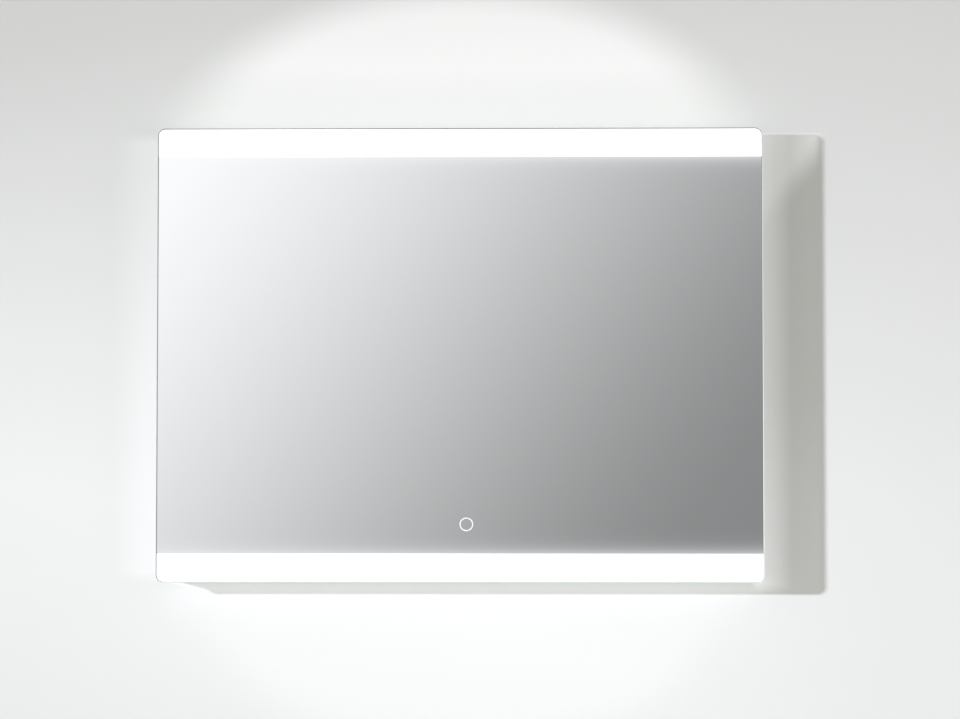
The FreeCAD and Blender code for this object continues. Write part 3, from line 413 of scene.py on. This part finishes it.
tree, shader, place = start_finish("silvered_glass", {"Metallic": 1.0})
wiped = add(tree, "TexNoise", {"Vector": place, "Scale": per_metre(wiped_patch), "Detail": 2.0})
spread_over(tree, shader, wiped, roughness=(0.0, 0.02))

depth = inside_silver(tree, place)
reaches = add(tree, "Math", {0: depth, 1: -bleed_reach}, operation="DIVIDE")
decay = add(tree, "Math", {0: reaches}, operation="EXPONENT")
height = add(tree, "SeparateXYZ", {0: place}).outputs["Z"]
spans = {0: height, 1: silver_low.z, 2: silver_high.z, 3: bleed_at_lower_band, 4: bleed_at_upper_band}
strength = add(tree, "MapRange", spans)
bleed = add(tree, "Math", {0: decay, 1: strength}, operation="MULTIPLY")
covered = {0: bleed, 6: linear("#F8FAFB"), 7: linear("#000000")}
mirror_left = add(tree, "Mix", covered, data_type="RGBA").outputs[2]
connect(tree, shader, {"Base Color": mirror_left, "Emission Strength": bleed})
connect(tree, shader, {"Emission Color": linear("#FBFCFF")})

# %% [markdown]
# ## Bare glass: the lit bands, the ring, the rim and the edge
#
# In the bands the glass is bare, with the opal diffuser 0.5 mm behind it, so what is seen is the
# lit opal under a polished skin: full emission, low roughness. The ring is blasted into the
# silver, so it is duller, and only a small light stands behind it.
#
# The last millimetre and a half round the sheet has no silver either. There one looks through
# the glass at the shaded frame, a thin grey-green line. Beside the bands the same line is lit
# from within, so its emission rises where the silver ends. The edge of the sheet is ground and
# polished and looks green, because there one sees through a long way of glass. It and the bare
# glass on the back are lit beside the bands too.

# %% Lit bands and touch ring
tree, shader, _ = mottled(
    "lit_band", feature=60.0, detail=2.0, colours=("#EFF0EF", "#F8F9F8"), roughness=(0.05, 0.1),
)
connect(tree, shader, {"Emission Color": linear("#FFFFFF"), "Emission Strength": 1.0})

tree, shader, _ = mottled(
    "etched_ring", feature=0.8, detail=3.0, colours=("#C7CCCE", "#D3D7D9"), roughness=(0.4, 0.55),
)
connect(tree, shader, {"Emission Color": linear("#F6FAFF"), "Emission Strength": 0.42})

# %% Clear rim, edge and back of the glass
glass_light = linear("#F1FBF5")
polish_mark = 9.0
piped_light = 4 * mm

for name, dark, pale, metallic, roughness, even_glow, piped in (
    ("clear_rim", "#6F7774", "#7E8582", 0.3, (0.12, 0.2), 0.0, 0.1),
    ("polished_edge", "#86A398", "#A3B9B0", 0.0, (0.07, 0.15), 0.05, 0.45),
    ("glass_back", "#8FA69D", "#9DB1A9", 0.0, (0.1, 0.18), 0.0, 0.5),
):
    tree, shader, place = mottled(name, polish_mark, 3.0, (dark, pale), roughness, metallic=metallic)
    depth = inside_silver(tree, place)
    beside_band = {0: depth, 1: piped_light, 2: -piped_light, 3: even_glow, 4: piped}
    piping = add(tree, "MapRange", beside_band, interpolation_type="SMOOTHSTEP")
    connect(tree, shader, {"Emission Color": glass_light, "Emission Strength": piping})

# %% [markdown]
# The arris is a polished facet, so it works as a small window into the sheet. Light that enters
# at the upper left runs through the glass and leaves where the facet looks to the right or down,
# which makes that side of the outline a bright line, brighter towards the lower corner. The
# facets that look to the left and up stay dark. So its glow is painted light that follows the way
# the facet faces.

# %% Polished arris
lit_direction = (1, 0, -0.5)
dark_facing = -0.35
bright_facing = 0.7
dark_facet = 0.08
bright_facet_high = 0.6
bright_facet_low = 1.1

tree, shader, place = mottled(
    "polished_arris", polish_mark, 3.0, colours=("#5C6260", "#676D6B"), roughness=(0.1, 0.18),
)
height = add(tree, "SeparateXYZ", {0: place}).outputs["Z"]
spans = {0: height, 1: glass_high.z, 2: glass_low.z, 3: bright_facet_high, 4: bright_facet_low}
brightest = add(tree, "MapRange", spans)
normal = add(tree, "NewGeometry").outputs["Normal"]
leaning = add(tree, "VectorMath", {0: normal, 1: lit_direction}, operation="DOT_PRODUCT")
turned_to = leaning.outputs["Value"]
turned = {0: turned_to, 1: dark_facing, 2: bright_facing, 3: dark_facet, 4: brightest}
facet_glow = add(tree, "MapRange", turned)
connect(tree, shader, {"Emission Color": glass_light, "Emission Strength": facet_glow})

print("finishes:", len(finishes))

# %% [markdown]
# ## Dress the frame
#
# Each node of the frame comes with a plain material, named for a slot of the record. The table
# says which finish each slot becomes. Only the lines of the extruded bars differ from piece to
# piece: they run upwards on the two side profiles and across on everything else.

# %% Give each node its finish
finish_of_slot = {
    "clear_glass": "polished_edge",
    "silver": "backing_paint",
    "opal_plastic": "opal_pmma",
    "anodised_aluminium": "anodised_bar_along_x",
    "coated_steel": "powder_coat",
    "zinc_steel": "zinc_plate",
    "black_rubber": "moulded_rubber",
    "foam_tape": "foam_tape",
    "white_plastic": "moulded_abs",
    "white_board": "white_solder_mask",
    "led_phosphor": "led_phosphor",
    "green_board": "green_solder_mask",
    "black_component": "black_epoxy",
    "brass": "turned_brass",
    "conductive_foam": "conductive_foam",
    "clear_plastic": "clear_acrylic",
    "grey_jacket": "pvc_jacket",
    "core_jacket": "core_insulation",
}
upright_bars = ("side_profile_left", "side_profile_right")

for name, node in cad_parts.items():
    for slot in node.material_slots:
        finish = finish_of_slot[slot.material.name.split(".")[0]]
        if name in upright_bars:
            finish = "anodised_bar_along_z"
        slot.material = finishes[finish]

print("dressed nodes:", len(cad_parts))

# %% [markdown]
# ## Model the glass
#
# The real sheet is cut from 5 mm float glass, its corners are ground round, and both rims get a
# small flat arris. The same steps work here: a slab, a bevel on the four short corner edges, and
# a chamfer of one flat facet on the rims. The facet must stay flat. A rounded rim would share
# its shading with the big front face and bend every reflection in it.
#
# An operator works on what is selected, so `pick` first clears the selection and then selects
# the faces or edges that pass a test of their place.

# %% The slab, and helpers to edit it by hand
bpy.ops.mesh.primitive_cube_add(size=1, location=glass_middle, scale=glass_high - glass_low)
looking_glass = bpy.context.object
looking_glass.name = "looking_glass"
bpy.ops.object.transform_apply(location=True, rotation=True, scale=True)
print("slab, mm:", [round(side / mm, 1) for side in looking_glass.dimensions])


def edit(piece):
    """Goes into edit mode on one piece."""
    bpy.ops.object.select_all(action="DESELECT")
    bpy.context.view_layer.objects.active = piece
    piece.select_set(True)
    bpy.ops.object.mode_set(mode="EDIT")


def pick(piece, kind, test):
    """Selects the faces or the edges that pass the test, and returns how many there are."""
    bpy.ops.mesh.select_mode(type=kind)
    bpy.ops.mesh.select_all(action="DESELECT")
    shape = bmesh.from_edit_mesh(piece.data)
    found = [e for e in (shape.faces if kind == "FACE" else shape.edges) if test(e)]
    for element in found:
        element.select_set(True)
    shape.select_flush_mode()
    bmesh.update_edit_mesh(piece.data)
    return len(found)


# %% Its round corners and its arrises
corner_radius = 10 * mm
corner_steps = 14
arris = 1 * mm
tiny = 0.01 * mm

def runs_front_to_back(edge):
    return abs(edge.verts[0].co.y - edge.verts[1].co.y) > tiny


edit(looking_glass)
corners = pick(looking_glass, "EDGE", runs_front_to_back)
bpy.ops.mesh.bevel(offset=corner_radius, segments=corner_steps, affect="EDGES")
rims = pick(looking_glass, "EDGE", lambda e: not runs_front_to_back(e))
bpy.ops.mesh.bevel(offset=arris, segments=1, affect="EDGES")
print("corners rounded:", corners, "rim edges chamfered:", rims)

# %% [markdown]
# The silver stops 1.5 mm short of the edge, so the front is inset by what remains after the
# arris. Then two bisects, on the front faces alone, cut the lines where the bare bands start.

# %% The clear rim and the two band lines
def is_front(face):
    return face.normal.y < -0.99


def is_back(face):
    return face.normal.y > 0.99


pick(looking_glass, "FACE", is_front)
bpy.ops.mesh.inset(thickness=clear_rim - arris)
for band_line in (silver_low.z, silver_high.z):
    pick(looking_glass, "FACE", is_front)
    bpy.ops.mesh.bisect(plane_co=(0, 0, band_line), plane_no=(0, 0, 1))
bpy.ops.object.mode_set(mode="OBJECT")
print("faces after the band lines:", len(looking_glass.data.polygons))

# %% [markdown]
# ## Cut the ring of the touch mark
#
# On the real mirror the ring is a line of silver blasted away from behind. A line that thin has
# to be crisp, and a pattern in the material would be soft once it is baked, so it is cut into
# the mesh. The cutter is a short tube: a cylinder whose two ends are inset by the width of the
# line, opened, and bridged to make the inner wall. It leaves a groove only 0.02 mm deep.

# %% A tube for a cutter
ring_radius = 9 * mm
ring_line = 1.5 * mm
ring_steps = 96
groove = 0.02 * mm
cutter_depth = 2 * mm

bpy.ops.mesh.primitive_cylinder_add(
    vertices=ring_steps, radius=ring_radius, depth=cutter_depth,
    location=(ring_middle.x, glass_low.y - cutter_depth / 2 + groove, ring_middle.z),
    rotation=(math.radians(90), 0, 0),
)
cutter = bpy.context.object
bpy.ops.object.transform_apply(location=True, rotation=True, scale=True)
edit(cutter)
pick(cutter, "FACE", lambda f: is_front(f) or is_back(f))
bpy.ops.mesh.inset(thickness=ring_line)
opened = pick(cutter, "FACE", lambda f: len(f.verts) == ring_steps)
bpy.ops.mesh.delete(type="FACE")
pick(cutter, "EDGE", lambda e: e.is_boundary)
bpy.ops.mesh.bridge_edge_loops()
bpy.ops.mesh.select_all(action="SELECT")
bpy.ops.mesh.normals_make_consistent(inside=False)
bpy.ops.object.mode_set(mode="OBJECT")
print("ends opened:", opened, "faces of the tube:", len(cutter.data.polygons))

# %% Cut the groove
bpy.ops.object.select_all(action="DESELECT")
bpy.context.view_layer.objects.active = looking_glass
looking_glass.select_set(True)
cut = looking_glass.modifiers.new("ring", "BOOLEAN")
cut.object = cutter
cut.operation = "DIFFERENCE"
cut.solver = "EXACT"
bpy.ops.object.modifier_apply(modifier=cut.name)
bpy.data.objects.remove(cutter)
print("faces after the ring:", len(looking_glass.data.polygons))

# %% [markdown]
# ## Give each face of the glass its finish
#
# The faces are told apart by where they lie: the groove is a little behind the front, the bands
# are above and below the silver, and the rim is what lies outside it. The same `pick` selects
# them, and the selected faces get the active material slot. Each test may take over faces that
# an earlier one had.

# %% Tests of where a face lies
front = glass_low.y


def is_arris(face):
    return 0.3 < abs(face.normal.y) < 0.9


def beyond_bands(face):
    return is_front(face) and abs(face.calc_center_median().z - glass_middle.z) > half_silver


def in_rim(face):
    """True on the quads of the front: the rim round the silver, and the ring, tested next."""
    return is_front(face) and len(face.verts) == 4


def in_groove(face):
    return is_front(face) and min(v.co.y for v in face.verts) > front + groove / 2


print("the front lies at, mm:", round(front / mm, 2))

# %% Paint the faces by place
areas = (
    ("polished_edge", lambda f: True),
    ("glass_back", is_back),
    ("polished_arris", is_arris),
    ("silvered_glass", is_front),
    ("lit_band", beyond_bands),
    ("clear_rim", in_rim),
    ("etched_ring", in_groove),
)

for name, _ in areas:
    looking_glass.data.materials.append(finishes[name])
edit(looking_glass)
for number, (name, test) in enumerate(areas):
    count = pick(looking_glass, "FACE", test)
    looking_glass.active_material_index = number
    bpy.ops.object.material_slot_assign()
    print(name, count)
bpy.ops.object.mode_set(mode="OBJECT")
bpy.ops.object.shade_smooth_by_angle(angle=math.radians(30))

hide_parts("mirror_glass")
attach(looking_glass, "mirror")

# %% [markdown]
# ## The wall and the floor
#
# The stage is a plain pale wall, which reaches 1.6 m to each side and 1.5 m up from the part's
# origin, and a floor 2 m below it. A wall is needed here, because the mirror lights it and
# throws a shadow on it. It lies 0.2 mm behind the part.

# %% Build the wall and the floor
wall_half_width = 1.6
wall_top = 1.5
wall_gap = 0.2 * mm
floor_height = -2.0
floor_size = 24

bpy.ops.mesh.primitive_plane_add(size=1, rotation=(math.radians(90), 0, 0))
wall = bpy.context.object
wall.name = "wall"
wall.scale = (2 * wall_half_width, wall_top - floor_height, 1)
wall.location = (0, wall_gap, (wall_top + floor_height) / 2)
bpy.ops.object.transform_apply(location=True, rotation=True, scale=True)

bpy.ops.mesh.primitive_plane_add(size=floor_size, location=(0, 0, floor_height))
floor = bpy.context.object
floor.name = "floor"
bpy.ops.object.transform_apply(location=True, rotation=True, scale=True)
print("wall, m:", [round(side, 3) for side in wall.dimensions])

# %% [markdown]
# ## The wall's finish
#
# The wall is matt emulsion, and its colour carries painted shade: palest low down and a little
# darker towards the top. The painted change is steeper on the left and gentler on the right, as
# light from one side leaves it. Beyond 0.6 m to either side the steepness stays as it is there, so
# the wall is calm in wider views.

# %% Matt emulsion with painted shade
least_painted_shade_at = -0.5
most_painted_shade_at = 0.35
twist = 0.48
twist_half_width = 0.6

tree, shader, place = start_finish("matt_wall", {"Roughness": 0.9})
spot = add(tree, "SeparateXYZ", {0: place})
wall_x = spot.outputs["X"]
wall_z = spot.outputs["Z"]
twisted = {0: wall_x, 1: -twist_half_width, 2: twist_half_width, 3: 1 + twist, 4: 1 - twist}
steepness = add(tree, "MapRange", twisted)
slope = add(tree, "Math", {0: wall_z, 1: steepness}, operation="MULTIPLY")
painted_shade_share = add(tree, "MapRange", {0: slope, 1: least_painted_shade_at, 2: most_painted_shade_at})
# Painted shade: the upper, darker tone stands for less light falling there.
paint = {0: painted_shade_share, 6: linear("#F3F4F4"), 7: linear("#D9DAD9")}
emulsion_with_painted_shade = add(tree, "Mix", paint, data_type="RGBA").outputs[2]
connect(tree, shader, {"Base Color": emulsion_with_painted_shade})

# %% [markdown]
# On the emulsion lies what the mirror's own light does to it. The diffusers really shine, but
# their beam along the wall is too narrow to gather with few samples, so its soft domes, a wide
# one above and a fainter one below, are a glow of the wall's finish. A dome is a distance from
# the middle of the mirror's edge, counted in half widths and heights, and smoothed. Close to the
# edge it is weaker, because the real light of the diffusers falls there too.
#
# Each glow is kept as a pair of factors. At the end each pair is multiplied and all are added up.

# %% Domes of light above and below
dome_half_width = 0.369
dome_outline = 1.12
dome_plateau = 0.78
share_at_edge = 0.3
whole_from = 0.45

glows = []
for edge_height, reach, strength in (
    (glass_high.z, 0.199, 0.23),
    (glass_low.z, -0.24, 0.06),
):
    up = add(tree, "Math", {0: wall_z, 1: edge_height}, operation="SUBTRACT")
    high = add(tree, "Math", {0: up, 1: reach}, operation="DIVIDE")
    wide = add(tree, "Math", {0: wall_x, 1: dome_half_width}, operation="DIVIDE")
    from_middle = add(tree, "CombineXYZ", {0: wide, 1: high})
    out = add(tree, "VectorMath", {0: from_middle}, operation="LENGTH").outputs["Value"]
    soft = {0: out, 1: dome_outline, 2: dome_plateau, 3: 0.0, 4: strength}
    dome = add(tree, "MapRange", soft, interpolation_type="SMOOTHSTEP")
    ahead = add(tree, "MapRange", {0: high, 1: 0.0, 2: whole_from, 3: share_at_edge, 4: 1.0})
    glows.append((dome, ahead))
print("domes:", len(glows))

# %% [markdown]
# The lamp throws the mirror's shadow to the right, and that shadow isn't evenly dark either. All
# that lightens it is painted light in the wall's finish, placed from the mirror's edges, so four
# distances come first. `within` turns distances into a share: one where every limit is met, zero
# outside, and a ramp between.

# %% Distances from the mirror's edges, and limits on them
beside = add(tree, "Math", {0: wall_x, 1: glass_high.x}, operation="SUBTRACT")
to_left = add(tree, "Math", {0: glass_low.x, 1: wall_x}, operation="SUBTRACT")
below_top = add(tree, "Math", {0: glass_high.z, 1: wall_z}, operation="SUBTRACT")
below_end = add(tree, "Math", {0: glass_low.z, 1: wall_z}, operation="SUBTRACT")


def within(tree, *limits):
    """The product of ramps. A limit is a distance, and a pair: where it is 0, where it is 1."""
    share = 1.0
    for distance, (zero_at, one_at) in limits:
        ramp = add(tree, "MapRange", {0: distance, 1: zero_at, 2: one_at})
        share = add(tree, "Math", {0: ramp, 1: share}, operation="MULTIPLY")
    return share


print("the mirror's edges, mm:", [round(e / mm, 1) for e in (*glass_low.xz, *glass_high.xz)])

# %% [markdown]
# Beside the glass the shadow is pale over some 40 mm, more so further down, because light gets
# out at the rim. In its upper corner the lit top of the housing still shines in, and most of
# all on the far side. The lower half is a touch paler again. The shadow ends 80 mm to the right
# of the glass and 18 mm below it, and these lights have to fade out there.

# %% Light in the shadow beside the mirror
side_pale_high = 0.25
side_pale_low = 0.3
side_high_until = 0.3
side_low_from = 0.6
side_ends = (42 * mm, 0.0)
side_foot = (22 * mm, 4 * mm)

further_down = {0: below_top, 1: side_high_until, 2: side_low_from, 3: side_pale_high, 4: side_pale_low}
side_pale = add(tree, "MapRange", further_down)
side_share = within(tree, (beside, side_ends), (below_end, side_foot))
side_light = add(tree, "Math", {0: side_pale, 1: side_share}, operation="MULTIPLY")
print("side light ends, mm:", round(side_ends[0] / mm), "from the glass")

# %% Light in the upper corner and the lower half of the shadow
corner_width = 106 * mm
corner_height = 124 * mm
corner_outline = 1.2
corner_plateau = 0.7
near_glass = 20 * mm
far_out = 72 * mm
pale_near_glass = 0.07
pale_far_out = 0.25
lower_half = (0.35, 0.5)
lower_half_pale = 0.035
shadow_side = (88 * mm, 76 * mm)
shadow_foot = (20 * mm, 12 * mm)
right_seam = (-12 * mm, -6 * mm)
top_seam = (0.0, 6 * mm)

across = add(tree, "Math", {0: beside, 1: corner_width}, operation="DIVIDE")
aslant = {0: below_top, 1: 1 / corner_height, 2: across}
out = add(tree, "Math", aslant, operation="MULTIPLY_ADD")
outwards = {0: beside, 1: near_glass, 2: far_out, 3: pale_near_glass, 4: pale_far_out}
corner_pale = add(tree, "MapRange", outwards)
corner = {0: out, 1: corner_outline, 2: corner_plateau, 3: 0.0, 4: corner_pale}
corner_light = add(tree, "MapRange", corner, interpolation_type="SMOOTHSTEP")
in_lower_half = within(tree, (below_top, lower_half))
broad = {0: in_lower_half, 1: lower_half_pale, 2: corner_light}
broad_light = add(tree, "Math", broad, operation="MULTIPLY_ADD")

in_shadow = within(tree, (beside, shadow_side), (below_end, shadow_foot))
both_lights = {0: broad_light, 1: in_shadow, 2: side_light}
shadow_light = add(tree, "Math", both_lights, operation="MULTIPLY_ADD")
glows.append((shadow_light, within(tree, (beside, right_seam), (below_top, top_seam))))
print("the corner light reaches, mm:", round(corner_outline * corner_height / mm), "down")

# %% [markdown]
# Below the glass the same shadow shows as a narrow strip. The lower diffuser lights it, most of
# all close to the glass. On the left the strip begins along a slant, because the shadow is
# shifted 80 mm to the right for 18 mm down. On the right the pale light beside the glass takes
# over from it.

# %% Light in the strip of shadow under the glass
shadow_shift = 80 * mm
shadow_drop = 18 * mm
strip_pale_near = 0.205
strip_pale_low = 0.165
strip_near_until = 6 * mm
strip_low_from = 12 * mm
strip_ends = 24 * mm
behind_edge = (-2 * mm - tiny, -2 * mm)     # a sharp limit, where the glass hides it
slant_edge = (10 * mm, -15 * mm)
left_of_side = (-6 * mm, -12 * mm)

lower = {0: below_end, 1: strip_near_until, 2: strip_low_from, 3: strip_pale_near, 4: strip_pale_low}
strip_pale = add(tree, "MapRange", lower)
strip = {0: below_end, 1: strip_ends, 2: strip_low_from, 3: 0.0, 4: strip_pale}
strip_light = add(tree, "MapRange", strip, interpolation_type="SMOOTHSTEP")
slant = {0: below_end, 1: shadow_shift / shadow_drop, 2: to_left}
from_slant = add(tree, "Math", slant, operation="MULTIPLY_ADD")
limits = (below_end, behind_edge), (from_slant, slant_edge), (beside, left_of_side)
glows.append((strip_light, within(tree, *limits)))
print("the shadow falls", round(shadow_shift / shadow_drop, 1), "times as far across as down")

# %% [markdown]
# On the left the satin side of the housing faces the lamp and throws some of its light back on
# the wall, as a soft bright border. The lamp below is hidden from shiny surfaces, so this light
# is part of the finish as well.

# %% Light that the left side throws back on the wall
border_width = 76 * mm
border_glow = 0.115
border_top = (0.0, 14 * mm)
border_foot = (4 * mm, -12 * mm)

border = {0: to_left, 1: 0.0, 2: border_width, 3: border_glow, 4: 0.0}
thrown_back = add(tree, "MapRange", border, interpolation_type="SMOOTHSTEP")
limits = (to_left, behind_edge), (below_top, border_top), (below_end, border_foot)
glows.append((thrown_back, within(tree, *limits)))

total = 0.0
for light, share in glows:
    total = add(tree, "Math", {0: light, 1: share, 2: total}, operation="MULTIPLY_ADD")
connect(tree, shader, {"Emission Color": linear("#FFFFFF"), "Emission Strength": total})
print("glows on the wall:", len(glows))

# %% [markdown]
# The wall is a single sheet that is only there from the front. A ray that meets it from behind
# goes through, and once it has done so it meets no wall any more, so that the back of the
# mirror can be looked at in full light.

# %% The wall is there from the front only
def show_instead(tree, surface):
    """Puts another surface in the place of the finish's own shader."""
    output = next(n for n in tree.nodes if n.type == "OUTPUT_MATERIAL")
    connect(tree, output, {"Surface": surface})


behind = add(tree, "NewGeometry").outputs["Backfacing"]
passed = add(tree, "LightPath").outputs["Transparent Depth"]
from_behind = add(tree, "Math", {0: behind, 1: passed}, operation="MAXIMUM")
clear = add(tree, "Math", {0: from_behind, 1: 0.5}, operation="GREATER_THAN")
nothing = add(tree, "BsdfTransparent")
show_instead(tree, add(tree, "MixShader", {0: clear, 1: shader, 2: nothing}))
wall.data.materials.append(finishes["matt_wall"])
print("nodes in the wall's finish:", len(tree.nodes))

# %% [markdown]
# The floor is pale, dull and barely mottled. Far away it fades into the white of the world, as a
# haze that only the camera and shiny surfaces see, so that its end never shows as a line.

# %% The floor's finish
haze_starts = 2.2
haze_full = 6.5


def seen_directly(tree):
    """One for the rays of the camera and of shiny surfaces, and zero for all others."""
    path = add(tree, "LightPath").outputs
    rays = {0: path["Is Camera Ray"], 1: path["Is Glossy Ray"]}
    return add(tree, "Math", rays, operation="MAXIMUM")


tree, shader, place = mottled(
    "pale_floor", feature=400.0, detail=3.0, colours=("#E0E1E2", "#E6E7E8"), roughness=(0.65, 0.8),
)
far_off = add(tree, "VectorMath", {0: place}, operation="LENGTH").outputs["Value"]
fading = {0: far_off, 1: haze_starts, 2: haze_full, 3: 0.0, 4: 1.0}
haze = add(tree, "MapRange", fading, interpolation_type="SMOOTHSTEP")
seen_haze = add(tree, "Math", {0: haze, 1: seen_directly(tree)}, operation="MULTIPLY")
white = add(tree, "Emission", {"Color": linear("#FFFFFF"), "Strength": 1.0})
show_instead(tree, add(tree, "MixShader", {0: seen_haze, 1: shader, 2: white}))
floor.data.materials.append(finishes["pale_floor"])

# %% [markdown]
# ## Studio light
#
# Three things light the scene. The world gives a soft, slightly warm fill. To the camera it is
# plain white, and to shiny surfaces it is a studio that is bright on the upper left and falls to
# grey on the lower right: that fall is what one sees in the mirror. Further round to the right
# the studio turns pale again, so that the metal of the right side isn't dark from there.
#
# A small cool lamp on the left rakes the wall and throws the long shadow on the right. Its place
# follows from the shadow: that is 80 mm long for a depth of 45 mm, and hardly larger than the
# mirror, so the lamp stands some way off. It has no falloff, so both ends of the wall get the
# same light. Shiny surfaces don't see it, because its highlight would whiten the satin side.
# A broad lamp behind the wall is for views of the back, and the wall keeps it off the front.

# %% The world
fill_light = 0.57
studio_bright = 1.08
studio_dim = 0.26
falls_towards = (2.07, 0, -1.544)
fall_starts = -0.66
fall_ends = 0.29
pale_side = 0.72
pale_starts = 0.6
pale_full = 1.8

world = bpy.data.worlds.new("studio")
bpy.context.scene.world = world
world.use_nodes = True
tree = world.node_tree
tree.nodes.clear()

towards = add(tree, "TexCoord").outputs["Generated"]
leaning = add(tree, "VectorMath", {0: towards, 1: falls_towards}, operation="DOT_PRODUCT")
way_down = leaning.outputs["Value"]
falling = {0: way_down, 1: fall_starts, 2: fall_ends, 3: studio_bright, 4: studio_dim}
mirrored = add(tree, "MapRange", falling, interpolation_type="SMOOTHSTEP")
rising = {0: way_down, 1: pale_starts, 2: pale_full, 3: 0.0, 4: pale_side}
far_side = add(tree, "MapRange", rising, interpolation_type="SMOOTHSTEP")
studio = add(tree, "Math", {0: mirrored, 1: far_side}, operation="MAXIMUM")

path = add(tree, "LightPath").outputs
fill_or_studio = {0: path["Is Glossy Ray"], 2: fill_light, 3: studio}
unseen = add(tree, "Mix", fill_or_studio, data_type="FLOAT")
strength = add(tree, "Mix", {0: path["Is Camera Ray"], 2: unseen, 3: 1.0}, data_type="FLOAT")
tints = {0: seen_directly(tree), 6: linear("#FFFEF5"), 7: linear("#FFFFFF")}
tint = add(tree, "Mix", tints, data_type="RGBA").outputs[2]
shine = add(tree, "Background", {"Color": tint, "Strength": strength})
add(tree, "OutputWorld", {"Surface": shine})
print("nodes in the world:", len(tree.nodes))

# %% The lamps
def soft_lamp(name, place, size, power, aim):
    """A round lamp of a size and power, at a place, turned to a point, with no falloff."""
    light = bpy.data.lights.new(name, "AREA")
    light.shape = "DISK"
    light.size = size
    light.energy = power
    light.use_nodes = True
    tree = light.node_tree
    tree.nodes.clear()
    even = add(tree, "LightFalloff", {"Strength": 1.0}).outputs["Constant"]
    glare = add(tree, "Emission", {"Color": linear("#F6F7FF"), "Strength": even})
    add(tree, "OutputLight", {"Surface": glare})
    lamp = bpy.data.objects.new(name, light)
    lamp.location = place
    lamp.rotation_euler = (Vector(aim) - Vector(place)).to_track_quat("-Z", "Y").to_euler()
    bpy.context.scene.collection.objects.link(lamp)
    print(name, "from the mirror, m:", round((lamp.location - glass_middle).length, 2))
    return lamp


raking_lamp = soft_lamp(
    "raking_lamp", place=(-3.17, -1.88, 0.28), size=0.16, power=1.10, aim=(0.42, 0, -0.38),
)
raking_lamp.data.spread = math.radians(60)
raking_lamp.visible_glossy = False
soft_lamp("back_lamp", place=(2.4, 4.0, 2.2), size=2.0, power=2.6, aim=glass_middle)

# %% [markdown]
# ## Camera
#
# The photograph looks at the mirror from a little below and a little to the right, from about
# three metres. Those numbers come from the four corners of the glass: the bottom edge is 4 pixels
# longer than the top one, which fixes the tilt and the distance, and the rest follows.

# %% Place the camera
camera_place = (0.0706, -3.0, -0.2886)
tilt_up = 2.13
turn_left = 0.846
focal_length = 84.14

lens = bpy.data.cameras.new("photo_view")
lens.sensor_width = 36
lens.lens = focal_length
camera = bpy.data.objects.new("photo_view", lens)
camera.location = camera_place
camera.rotation_euler = (math.radians(90 + tilt_up), 0, math.radians(turn_left))
bpy.context.scene.collection.objects.link(camera)
bpy.context.scene.camera = camera
bpy.context.scene.view_settings.view_transform = "Standard"
print("camera from the mirror, m:", round((camera.location - glass_middle).length, 2))
